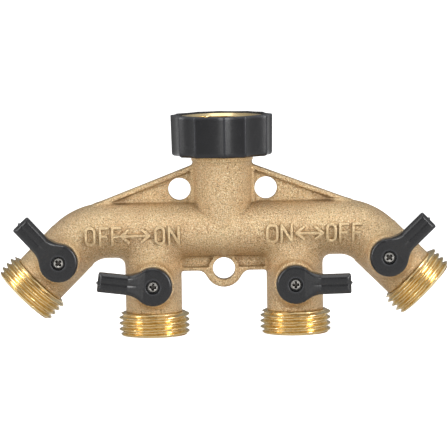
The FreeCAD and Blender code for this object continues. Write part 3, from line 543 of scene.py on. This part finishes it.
def lower_web(x, y, up):
    """The straight web between the inner stubs, with the lug round its hole."""
    from_hole = np.hypot(x, up - LOWER_HOLE)
    low = np.maximum(np.maximum(x - LOW_WEB_X, -up - LOW_WEB_DOWN), up)
    sunk = np.maximum(np.maximum(x - LOW_SUNK_X, -up - LOW_SUNK_DOWN), LOW_SUNK_R - from_hole)
    return rimmed_web(smin(low, from_hole - LUG_R, 3.0), sunk, y)


def with_bosses(body, p):
    """Adds the stems' round bosses on the front, each with the post that stops its lever."""
    for at, along in ((INNER_AT, (0, 0, 1)), (OUTER_AT, (-COS45, 0, COS45))):
        body = smin(body, rod(p, at, FRONT, BOSS_R, BOSS_OUT, 1.5), FILLET)
        side = np.array([along[2], 0, -along[0]])
        post = at + POST_FROM_STEM * (math.cos(POST_ANGLE) * side
                                      - math.sin(POST_ANGLE) * np.array(along))
        body = smin(body, rod(p, post, FRONT, POST_R, POST_OUT), 0.2)
    return body


def waterways(p, bend_off):
    """All that is hollow: tube, neck, ports, ball chambers and stem bores."""
    hollow = rod(p, TUBE_AT, (1, 0, 0), TUBE_BORE, RUN_END)
    hollow = np.minimum(hollow, rod(p, TUBE_AT, (0, 0, 1), TUBE_BORE, 40.0))
    hollow = np.minimum(hollow, bend_off - PORT_R)
    for at, away, back in (
        (INNER_AT, (0, 0, -1), TUBE_Z - INNER_AT[2]),
        (OUTER_AT, OUTER_WAY, OUTER_LONG - BALL_TO_END),
    ):
        away = np.array(away)
        chamber = rod(p, at - CHAMBER_BACK * away, away, CHAMBER_R, CHAMBER_BACK + BALL_TO_END + 3)
        hollow = np.minimum(hollow, rod(p, at - back * away, away, PORT_R, back))
        hollow = np.minimum(hollow, chamber)
        hollow = np.minimum(hollow, rod(p, at, FRONT, STEM_COLLAR_R, STEM_COLLAR_OUT))
        hollow = np.minimum(hollow, rod(p, at, FRONT, STEM_BORE, 20.0))
    return hollow


def casting(points):
    """The whole manifold as one field."""
    p = points.copy()
    p[:, 0] = np.abs(p[:, 0])
    x, y = p[:, 0], p[:, 1]
    up = p[:, 2] - TUBE_Z
    across = np.hypot(x, y)

    # The nearest point of the bend's middle line, and the way out from the tube's.
    turn = np.clip(np.arctan2(x - RUN_END, up + BEND_R), 0.0, math.radians(45))
    mid_x, mid_up = RUN_END + BEND_R * np.sin(turn), BEND_R * (np.cos(turn) - 1)
    bend_off = np.sqrt((x - mid_x) ** 2 + y * y + (up - mid_up) ** 2)
    tube_out = outward(np.where(x > RUN_END, x - mid_x, 0.0), y, up - mid_up)

    body = pipes(p, bend_off, tube_out, neck_and_collar(across, up))
    body = smin(body, upper_web(x, y, up), 1.1)
    body = smin(body, lower_web(x, y, up), 1.2)
    body = with_bosses(body, p)

    spigot = corner(across - SPIGOT_R, np.abs(up - SPIGOT_HALF) - SPIGOT_HALF, 0.5)
    groove = np.maximum(GROOVE_R - across, np.abs(up - GROOVE_UP) - GROOVE_HALF)
    body = smin(body, np.maximum(spigot, -groove), 0.3)

    upper_hole = np.hypot(x - UPPER_HOLE[0], up - UPPER_HOLE[1]) - HOLE_R
    body = smax(body, -upper_hole, 0.5)
    lower_hole = np.hypot(x, up - LOWER_HOLE) - HOLE_R
    body = smax(body, -np.maximum(lower_hole, np.abs(y) - 8.0), 0.5)
    return smax(body, -waterways(p, bend_off), 0.25)


def relief(field, points):
    """Per point: how deep in a hollow it lies, for painted shade, and how sharp an edge it is on, for a painted
    highlight.
    """
    _, slope = slope_of(field, points)
    normal = slope / np.maximum(np.linalg.norm(slope, axis=1), 1e-6)[:, None]
    # painted shade: grows the deeper the point lies in a hollow
    painted_shade = np.zeros(len(points))
    for reach in (1.0, 2.2, 4.0):
        painted_shade += np.maximum(reach - field(points + normal * reach), 0.0) / reach / 3
    # painted highlight: grows the sharper the edge the point is on
    inward = 0.7
    edge = np.maximum(field(points - normal * inward) + inward, 0.0) / inward
    return {"painted_shade": painted_shade, "edge": edge}


CAST_STEP = 0.6
CAST_MARGIN = 1.1
low, high = node_mm("manifold_body")
points, quads = skin(casting, low - CAST_MARGIN, high + CAST_MARGIN, CAST_STEP)
cast = make("cast_manifold", points, quads, CAST, "manifold", "cast_brass",
            marks=relief(casting, points))
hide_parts("manifold_body")


# ---------------------------------------------------------------- raised ON and OFF with arrows

LETTER_HIGH = 6.0
LETTER_FOOT = TUBE_Z - 1.3 - LETTER_HIGH / 2
LETTER_PROUD, LETTER_SUNK = 1.0, 0.2    # the stroke's top, and where its flank ends
LETTER_GRID = 0.13
ROUND = 1.45                            # corner radius of the O
ARROW_LONG, ARROW_HALF = 2.8, 0.36      # an arrow head's length, and its half width as a share

# A sign, where it starts along X and how wide it is.
LEGENDS = (
    [("O", -52.3, 3.2), ("F", -46.9, 2.9), ("F", -42.2, 3.0), ("<>", -38.9, 10.8),
     ("O", -25.8, 3.2), ("N", -20.7, 3.7)],
    [("O", 16.7, 3.8), ("N", 22.2, 3.8), ("<>", 27.7, 10.2), ("O", 39.5, 3.2),
     ("F", 44.4, 3.1), ("F", 49.4, 3.1)],
)


def ring_path(wide, high, radius):
    """A rounded upright loop as points from (0, 0)."""
    corners = ((wide - radius, high - radius, 0), (radius, high - radius, 90),
               (radius, radius, 180), (wide - radius, radius, 270))
    path = []
    for cx, cz, start in corners:
        for t in np.radians(np.linspace(start, start + 90, 6)):
            path.append((cx + radius * math.cos(t), cz + radius * math.sin(t)))
    return path + path[:1]


def sign_paths(sign, wide, high):
    """The strokes of a letter or a double arrow, each a list of points from (0, 0)."""
    if sign == "O":
        return [ring_path(wide, high, ROUND)]
    if sign == "N":
        return [[(0, 0), (0, high), (wide, 0), (wide, high)]]
    if sign == "F":
        return [[(0, 0), (0, high), (wide, high)], [(0, 0.5 * high), (0.8 * wide, 0.5 * high)]]
    mid, half = high / 2, ARROW_HALF * high
    return [[(0, mid), (wide, mid)]] + [
        [(inner, mid + half), (tip, mid), (inner, mid - half)]
        for tip, inner in ((0, ARROW_LONG), (wide, wide - ARROW_LONG))
    ]


def from_strokes(x, z, signs):
    """Distance from a legend's strokes, seen from the front."""
    near = np.full(x.shape, FAR)
    for sign, at, wide in signs:
        for path in sign_paths(sign, wide, LETTER_HIGH):
            for (ax, az), (bx, bz) in zip(path, path[1:]):
                ax, bx = ax + at, bx + at
                az, bz = az + LETTER_FOOT, bz + LETTER_FOOT
                near = np.minimum(near, from_line(x, z, ax, az, bx - ax, bz - az))
    return near


def legend(signs):
    """A raised legend that follows the casting's own surface, with a painted highlight on its strokes' tops and
    painted shade round their foot.
    """
    left, right = signs[0][1] - 1, signs[-1][1] + signs[-1][2] + 1
    xs = np.arange(left, right, LETTER_GRID)
    zs = np.arange(LETTER_FOOT - 1, LETTER_FOOT + LETTER_HIGH + 1, LETTER_GRID)
    x, z = (g.ravel() for g in np.meshgrid(xs, zs, indexing="ij"))
    near = from_strokes(x, z, signs)
    base = np.stack([x, np.full(x.shape, -15.0), z], 1)     # just in front of the tube
    for _ in range(24):                                     # steps back onto it
        base[:, 1] += casting(base)
    _, slope = slope_of(casting, base)
    normal = slope / np.linalg.norm(slope, axis=1)[:, None]
    rise = LETTER_PROUD - (LETTER_PROUD + LETTER_SUNK) * step_up(0.4, 0.82, near)
    top = base + normal * rise[:, None]
    under = base - normal * 0.5
    across = len(zs)
    cell = (np.arange(len(xs) - 1)[:, None] * across + np.arange(across - 1)[None, :]).ravel()
    quads = np.stack([cell, cell + across, cell + across + 1, cell + 1], 1)
    quads = quads[(near[quads] < 0.9).any(1)]
    count = len(x)
    border = {}
    for a, b in np.concatenate([quads[:, (i, (i + 1) % 4)] for i in range(4)]).tolist():
        if (b, a) in border:
            del border[(b, a)]
        else:
            border[(a, b)] = True
    walls = np.array([(b, a, a + count, b + count) for a, b in border])
    faces = np.concatenate([quads, quads[:, ::-1] + count, walls])
    used, faces = np.unique(faces, return_inverse=True)
    points = np.concatenate([top, under])[used]
    # painted highlight on the strokes' tops
    edge = np.concatenate([0.8 * step_up(0.0, 0.2, rise), np.zeros(count)])[used]
    # painted shade round the strokes' foot
    foot = np.concatenate([step_up(0.42, 0.66, near), np.zeros(count)])[used]
    return points, faces.reshape(-1, 4), {"edge": edge, "painted_shade": foot}


for side, signs in zip(("left", "right"), LEGENDS):
    points, quads, marks = legend(signs)
    make(f"raised_legend_{side}", points, quads, CAST, "manifold", "cast_brass", marks=marks)


# ---------------------------------------------------------------- turned outlet ends

PITCH = 2.2
THREAD_R = frame["record"]["mounts"][1]["dims"]["r_mm"]
ROOT_R = 12.0
THREAD_STEP = 0.155     # between the rings that carry a thread
LEAD_SLOPE = 0.95       # of the cone on which a thread starts
LEAD_IN = 1.1
END_LONG = 8.8
OUTLET_BORE = 8.6
SPIGOT_IN_CHAMBER = 7.85


def thread_shape(along, angles, first):
    """0 on the crests and 1 in the roots of a right-handed thread."""
    crest_half, flank = 0.13, 0.77
    phase = (along - first + PITCH * angles / (2 * math.pi)) / PITCH
    away = np.abs(phase - np.round(phase)) * PITCH
    t = np.clip((away - crest_half) / flank, 0, 1)
    return 0.7 * t + 0.3 * t * t * (3 - 2 * t)


def outlet_end():
    """One outlet end round its ball's centre, its outlet towards -Z."""
    turning = Turning(144, "root_shade")
    end = BALL_TO_END + END_LONG
    step = BALL_TO_END + 1.4    # where the port opens into the outlet's bore
    bevel = 0.45

    # the last value is how much painted shade the thread's root gets at this ring
    def ring(radius, along, root_shade=0.0):
        turning.ring(radius, -along, root_shade)

    ring(OUTLET_BORE + bevel, end)
    ring(THREAD_R - LEAD_IN, end)
    for along in np.arange(end - 0.12, BALL_TO_END + 0.24, -THREAD_STEP):
        fade = step_up(BALL_TO_END + 0.1, BALL_TO_END + 0.75, along)
        depth = thread_shape(along, turning.angles, BALL_TO_END + 1.05)
        depth = np.maximum(depth, 1 - fade)
        radius = THREAD_R - (THREAD_R - ROOT_R) * depth
        ring(np.minimum(radius, THREAD_R - LEAD_IN + (end - along) * LEAD_SLOPE), along, depth)
    ring(ROOT_R, BALL_TO_END + 0.12, 1.0)
    ring(ROOT_R - 0.12, BALL_TO_END, 1.0)
    ring(SPIGOT_IN_CHAMBER, BALL_TO_END)
    ring(SPIGOT_IN_CHAMBER, CHAMBER_BACK)
    ring(PORT_R, CHAMBER_BACK)
    ring(PORT_R, BALL_TO_END + 1.1)
    ring(PORT_R + 0.3, step)
    ring(OUTLET_BORE, step)
    ring(OUTLET_BORE, end - bevel)
    return turning.mesh()


def valve_matrix(name):
    """The valve's frame: its outlet along -Z, the lever's side -Y."""
    at = Vector(JOINTS[f"lever_{name}"]["pos_m"])
    lean = {"outer_left": 45, "outer_right": -45}.get(name, 0)
    return Matrix.Translation(at) @ Matrix.Rotation(math.radians(lean), 4, "Y")


points, quads, marks = outlet_end()
for name in NAMES:
    end = make(f"outlet_end_{name}", points, quads, TURNED, "manifold", "turned_brass",
               valve_matrix(name), sharp=38, marks=marks)
    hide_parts(f"tailpiece_{name}")


# ---------------------------------------------------------------- swivel nut and its cover

NUT_R = 15.95
RIBS, RIB_HIGH, RIB_HALF = 6, 0.8, 1.5 / 16.0   # keys that hold the cover; RIB_HALF in radians
NUT_MINOR, NUT_DEPTH = 12.25, 1.35              # the nut's own thread
GRIP_TURN = 3.0                                 # degrees that nut and cover stand turned at rest
RIDGE_R = 19.65
FACE_ANGLES = (25.0, 35.0)                      # the cover's narrow and wide faces, in degrees
FACE_SAG = 0.95                                 # of a wide face


def from_middle(angles, middle):
    """The signed turn from middle to each angle, at most half a turn."""
    return (angles - middle + math.pi) % (2 * math.pi) - math.pi


def swivel_nut():
    """The nut from its foot up, out and in; its thread is on the inside."""
    turning = Turning(192, "root_shade")
    rib = np.zeros(len(turning.angles))
    for i in range(RIBS):
        gap = np.abs(from_middle(turning.angles, math.radians(360 / RIBS * i + GRIP_TURN)))
        rib = np.maximum(rib, 1 - step_up(RIB_HALF * 0.9, RIB_HALF * 1.1, gap))
    ribbed = NUT_R + RIB_HIGH * rib
    for radius, height in (
        (10.25, -8.6), (15.45, -8.6), (NUT_R, -8.1), (NUT_R, -7.9), (ribbed, -7.85),
        (ribbed, 4.65), (NUT_R, 4.7), (NUT_R, 6.1), (15.65, 6.4), (13.75, 6.4),
    ):
        turning.ring(radius, height)
    for height in np.arange(6.1, -0.3, -THREAD_STEP):
        depth = thread_shape(-height, turning.angles, -5.1)
        inner = NUT_MINOR + NUT_DEPTH * depth
        # depth also sets the painted shade in the thread's roots
        turning.ring(np.maximum(inner, 13.6 - (6.25 - height) * LEAD_SLOPE), height, depth)
    for radius, height in ((13.9, -0.45), (13.9, -6.0), (10.55, -6.0), (10.25, -6.3)):
        turning.ring(radius, height)
    return turning.mesh()


def scallop_radius(angles):
    """Radius of the twelve-sided grip: concave faces, alternately narrow and wide."""
    radius = np.full(len(angles), RIDGE_R)
    start = -90.0 + GRIP_TURN
    for number in range(12):
        wide = FACE_ANGLES[number % 2]
        half = math.radians(wide / 2)
        middle = math.radians(start) + half
        chord = RIDGE_R * math.sin(half)
        sag = FACE_SAG * wide / FACE_ANGLES[1]
        hollow = (chord ** 2 + sag ** 2) / (2 * sag)
        reach = RIDGE_R * math.cos(half) - sag + hollow
        gap = from_middle(angles, middle)
        on = np.abs(gap) <= half + 1e-9
        inside = np.maximum(hollow ** 2 - (reach * np.sin(gap)) ** 2, 0)
        face = reach * np.cos(gap) - np.sqrt(inside)
        radius[on] = np.minimum(radius[on], face[on])
        start += wide
    return radius


def soften(values, times):
    """Values round a loop, each evened out with its neighbours."""
    for _ in range(times):
        values = (np.roll(values, 1) + 2 * values + np.roll(values, -1)) / 4
    return values


def nut_cover():
    """The cover from its foot up, with a painted highlight on its ridges and edges and a duller top face."""
    turning = Turning(480, "edge", "dull")
    scallops = scallop_radius(turning.angles)
    face = soften(scallops, 3)
    # painted highlight: the rings below mark the foot, the ridges between faces and most of all the top rim to be
    # paler
    ridge_highlight = step_up(19.15, 19.5, scallops)
    foot, top, draft = -8.8, 6.9, math.tan(math.radians(1.1))
    foot_edge, top_edge, bore = 1.2, 0.4, 16.0

    def wall(height):
        return face - (top - height) * draft

    turning.ring(bore, foot)
    low, high = foot + foot_edge, top - top_edge
    for t in np.radians(np.linspace(-90, 0, 7)):
        out, rise = foot_edge * math.cos(t), foot_edge * math.sin(t)
        turning.ring(wall(low) - foot_edge + out, low + rise, 0.1)
    for height in np.linspace(foot + 2.0, top - 1.2, 8):
        turning.ring(wall(height), height, 0.25 * ridge_highlight)
    for t in np.radians(np.linspace(0, 90, 5)):
        out, rise = top_edge * math.cos(t), top_edge * math.sin(t)
        turning.ring(wall(high) - top_edge + out, high + rise, 0.5, math.sin(t))
    turning.ring(bore + 0.35, top, 0.0, 1.0)
    turning.ring(bore, top - 0.3, 0.0, 1.0)
    return turning.mesh()


points, quads, marks = swivel_nut()
nut = make("coupling_nut", points, quads, TURNED, "inlet_nut", "turned_brass", sharp=38,
           marks=marks)
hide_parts("swivel_nut")
points, quads, marks = nut_cover()
cover = make("grip_cover", points, quads, COVER, "inlet_nut", "cover_plastic", sharp=40,
             marks=marks)
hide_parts("nut_cover")


# ---------------------------------------------------------------- levers and their screws

HUB_R, HUB_HIGH = 7.35, 5.4
BLADE_HALF, BLADE_TOP, BLADE_LOW, REACH = 3.75, 8.4, 3.9, 21.0
FLARE_R = 9.5
FLARE_Y = BLADE_HALF + FLARE_R
FLARE_X = math.sqrt((HUB_R + FLARE_R) ** 2 - FLARE_Y ** 2)
RAMP_FROM, RAMP_TO = 3.3, 9.7
UNDER_FROM, UNDER_TO = 8.0, 11.2
RECESS_R, RECESS_FLOOR = 2.7, 3.1
SQUARE_HALF, SQUARE_HIGH = 1.72, 2.74
SLOT_R, SLOT_HALF_WIDE, SLOT_HIGH, SLOT_HALF = POST_FROM_STEM, 1.2, 1.7, math.radians(48.5)
LEVER_OUT, SCREW_OUT = 13.9, 17.0       # from the stub's axis to the lever's and the screw's foot
STOP_PAST = 7.0                         # degrees past square at which a closed lever stops


def lever_plan(x, y):
    """The lever seen along its stem: a round hub that flares in to a straight blade."""
    side = np.abs(y)
    share = HUB_R / (HUB_R + FLARE_R)
    outline = [(0.0, -1.0), (REACH, -1.0), (REACH, BLADE_HALF), (FLARE_X, BLADE_HALF),
               (FLARE_X * share, FLARE_Y * share), (0.0, FLARE_Y * share)]
    plan = np.minimum(np.hypot(x, y) - HUB_R, polygon(x, side, outline))
    plan = np.maximum(plan, FLARE_R - np.hypot(x - FLARE_X, side - FLARE_Y))
    tip = smax(x - REACH, side - BLADE_HALF, 0.8)
    return np.maximum(plan, np.where(x > FLARE_X + 1, tip, plan))


def lever(points):
    """Lever along +X with its stem's axis along +Z from the underside of the hub."""
    x, y, z = points.T
    plan = lever_plan(x, y)
    over = polygon(x, z, [(-12.0, -3.0), (-12.0, HUB_HIGH), (RAMP_FROM, HUB_HIGH),
                          (RAMP_TO, BLADE_TOP), (30.0, BLADE_TOP), (30.0, -3.0)])
    under = polygon(x, z, [(-12.0, 0.0), (-12.0, 20.0), (30.0, 20.0), (30.0, BLADE_LOW),
                           (UNDER_TO, BLADE_LOW), (UNDER_FROM, 0.0)])
    bevel = 0.75 + 0.5 * step_up(4.0, 9.0, x)
    body = smax(plan, over, 0.2)
    body = smax(body, (plan + over + bevel) * COS45, 0.35)
    body = smax(body, under, 0.35)
    gate_scar = np.sqrt((x - REACH) ** 2 + (y - 0.3) ** 2 + ((z - 6.4) * 0.7) ** 2) - 0.55
    body = smin(body, gate_scar, 0.3)
    recess = corner(np.hypot(x, y) - RECESS_R, RECESS_FLOOR - z)
    body = smax(body, -recess, 0.05)
    square = np.maximum(np.maximum(np.abs(x), np.abs(y)) - SQUARE_HALF, z - SQUARE_HIGH)
    body = np.maximum(body, -square)
    near = np.clip(np.arctan2(y, x), -SLOT_HALF, SLOT_HALF)
    slot = np.hypot(x - SLOT_R * np.cos(near), y - SLOT_R * np.sin(near)) - SLOT_HALF_WIDE
    return smax(body, -np.maximum(slot, z - SLOT_HIGH), 0.1)


def screw_dome(points):
    """Pan head before its cross is cut; the head's seat is at z = 0."""
    x, y, z = points.T
    head_r, dome_r, dome_below = 2.1, 4.5, 3.0
    across = np.hypot(x, y)
    dome = np.sqrt(across ** 2 + (z + dome_below) ** 2) - dome_r
    return smax(smax(across - head_r, dome, 0.2), -z, 0.15)


def screw_head(points):
    """Pan head with a cross recess, and its shank."""
    x, y, z = points.T
    across = np.hypot(x, y)
    arm_half = 0.4 + 0.16 * (z - 0.6)
    arm_reach = 1.5 + 0.45 * (z - 1.5)
    ax, ay = np.abs(x), np.abs(y)
    cross = np.minimum(np.maximum(ax - arm_half, ay - arm_reach),
                       np.maximum(ay - arm_half, ax - arm_reach))
    cross = np.minimum(cross, across - 0.55 - 0.2 * (z - 0.6))
    head = smax(screw_dome(points), -np.maximum(cross, 0.1 - z), 0.08)
    shank = corner(across - 1.2, np.abs(z + 2.2) - 2.4, 0.3)
    return smin(head, shank, 0.1)


def lever_matrix(name, out_mm):
    """Frame of a lever at rest, out_mm from the stub's axis along the stem."""
    side = -1 if name.endswith("left") else 1
    to_stop = -JOINTS[f"lever_{name}"]["range_deg"][0]
    past = STOP_PAST - to_stop
    back = Matrix.Rotation(math.radians(-side * past), 4, "Y")
    face = Matrix.Rotation(math.pi if side < 0 else 0.0, 4, "Y")
    stand = Matrix.Rotation(math.radians(90), 4, "X")
    out = Matrix.Translation(Vector((0, 0, out_mm * MM)))
    return valve_matrix(name) @ back @ face @ stand @ out


LEVER_STEP = 0.22
SCREW_STEP = 0.1
lever_mesh = skin(lever, (-8.3, -8.3, -0.8), (22.4, 8.3, 9.2), LEVER_STEP, rounds=5)
# painted highlight along the lever's sharp edges
lever_highlights = {"edge": np.clip(relief(lever, lever_mesh[0])["edge"] - 0.15, 0, 0.4)}
screw_mesh = skin(screw_head, (-2.5, -2.5, -5.0), (2.5, 2.5, 1.9), SCREW_STEP, rounds=3)
# painted shade in the screw's cross recess
under_dome = step_up(0.12, 0.3, -screw_dome(screw_mesh[0]))
screw_shade = {"painted_shade": under_dome * (screw_mesh[0][:, 2] > 0.05)}
for name in NAMES:
    handle = make(f"lever_arm_{name}", *lever_mesh, LEVER, f"valve_{name}", "lever_plastic",
                  lever_matrix(name, LEVER_OUT), marks=lever_highlights)
    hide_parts(f"handle_{name}")
    screw = make(f"lever_cross_screw_{name}", *screw_mesh, NICKEL, f"valve_{name}", "screw_steel",
                 lever_matrix(name, SCREW_OUT), marks=screw_shade)
    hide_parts(f"handle_screw_{name}")


# ---------------------------------------------------------------- CAD nodes that stay

FINISHES = {
    "snap_ring": SPRING, "hose_washer": RUBBER, "ball": CHROME, "inlet_seat": PTFE,
    "outlet_seat": PTFE, "stem_o_ring": RUBBER, "stem": TURNED,
}
for name, node in frame["nodes"].items():
    if node.hide_render:    # replaced above
        continue
    kind = max((k for k in FINISHES if name.startswith(k)), key=len)
    node.data.materials.clear()
    node.data.materials.append(FINISHES[kind])


# ---------------------------------------------------------------- floor, light and camera

CAMERA_TARGET = Vector((0.31, 0, -35.27)) * MM
CAMERA_AWAY = 1.4158                    # metres
CAMERA_LENS = 297.1                     # on a 36 mm wide sensor
AZIMUTH, ELEVATION, ROLL = (math.radians(a) for a in (-0.05, 5.5, -1.02))
LAMP_AIM = (0, 0, -0.04)


def floor():
    low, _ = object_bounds()
    half = 9.0
    mesh = bpy.data.meshes.new("floor")
    z = low.z - 0.0001      # clear of the outlets' faces
    mesh.from_pydata([(-half, -half, z), (half, -half, z), (half, half, z), (-half, half, z)],
                     [], [(0, 1, 2, 3)])
    paint = Paint("floor_white", Base_Color=(0.8, 0.8, 0.8, 1.0), Roughness=0.9,
                  Specular_IOR_Level=0.1, Emission_Color=(1, 1, 1, 1))
    seen = paint.add("ShaderNodeLightPath").outputs["Is Camera Ray"]
    paint.put(paint.shader.inputs["Emission Strength"], paint.span(seen, 0.0, 1.0, 0.0, 0.85))
    mesh.materials.append(paint.material)
    plane = bpy.data.objects.new("floor", mesh)
    bpy.context.scene.collection.objects.link(plane)
    plane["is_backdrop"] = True


def lamp(name, at, wide, tall, power):
    """A soft white panel of light aimed at the splitter."""
    data = bpy.data.lights.new(name, "AREA")
    data.shape = "RECTANGLE"
    data.size, data.size_y = wide, tall
    data.energy = power
    lamp_object = bpy.data.objects.new(name, data)
    lamp_object.location = at
    way = Vector(LAMP_AIM) - Vector(at)
    lamp_object.rotation_mode = "QUATERNION"
    lamp_object.rotation_quaternion = way.to_track_quat("-Z", "Y")
    bpy.context.scene.collection.objects.link(lamp_object)


def studio_sky():
    """Soft white, darker behind, round the middle and to the left; plain white to the camera."""
    world = bpy.data.worlds.new("studio")
    world.use_nodes = True
    tree = world.node_tree
    ground = tree.nodes["Background"]
    place = tree.nodes.new("ShaderNodeTexCoord")
    split = tree.nodes.new("ShaderNodeSeparateXYZ")
    tree.links.new(place.outputs["Generated"], split.inputs[0])

    def maths(operation, *sources):
        node = tree.nodes.new("ShaderNodeMath")
        node.operation = operation
        for socket, source in zip(node.inputs, sources):
            tree.links.new(source, socket)
        return node.outputs[0]

    def between(source, start, end, low, high):
        node = tree.nodes.new("ShaderNodeMapRange")
        tree.links.new(source, node.inputs["Value"])
        limits = {"From Min": start, "From Max": end, "To Min": low, "To Max": high}
        for key, value in limits.items():
            node.inputs[key].default_value = value
        return node.outputs["Result"]

    across, deep, high = split.outputs["X"], split.outputs["Y"], split.outputs["Z"]
    level = between(high, -0.1, 0.9, 0.62, 0.66)
    level = maths("MULTIPLY", level, between(deep, 0.0, 0.7, 1.0, 0.58))
    level = maths("MULTIPLY", level, between(maths("ABSOLUTE", across), 0.0, 0.7, 0.64, 1.0))
    level = maths("MULTIPLY", level, between(across, -0.8, 0.8, 0.86, 1.14))
    path = tree.nodes.new("ShaderNodeLightPath")
    seen = tree.nodes.new("ShaderNodeMix")
    tree.links.new(path.outputs["Is Camera Ray"], seen.inputs[0])
    tree.links.new(level, seen.inputs[2])
    seen.inputs[3].default_value = 1.0
    tree.links.new(seen.outputs[0], ground.inputs["Strength"])
    ground.inputs["Color"].default_value = (1, 1, 1, 1)
    bpy.context.scene.world = world


def photo_camera():
    """A long lens a little above the splitter, looking slightly down."""
    forward = Vector((
        math.sin(-AZIMUTH) * math.cos(ELEVATION), math.cos(AZIMUTH) * math.cos(ELEVATION),
        -math.sin(ELEVATION),
    ))
    right = forward.cross(Vector((0, 0, 1))).normalized()
    up = right.cross(forward)
    x_axis = right * math.cos(ROLL) + up * math.sin(ROLL)
    y_axis = up * math.cos(ROLL) - right * math.sin(ROLL)
    data = bpy.data.cameras.new("photo_camera")
    data.sensor_width = 36.0
    data.lens = CAMERA_LENS
    data.clip_start, data.clip_end = 0.05, 40.0
    camera = bpy.data.objects.new("photo_camera", data)
    turn = Matrix((x_axis, y_axis, -forward)).transposed()
    place = Matrix.Translation(CAMERA_TARGET - forward * CAMERA_AWAY)
    camera.matrix_world = place @ turn.to_4x4()
    bpy.context.scene.collection.objects.link(camera)
    bpy.context.scene.camera = camera


floor()
studio_sky()
lamp("top", (0.0, 0.05, 1.1), 0.8, 1.2, 4.2)
lamp("left", (-0.97, -0.52, 0.4), 0.4, 1.0, 6.8)
lamp("right", (0.92, -0.64, 0.26), 0.36, 1.0, 8.8)
photo_camera()
bpy.context.scene.view_settings.view_transform = "Standard"
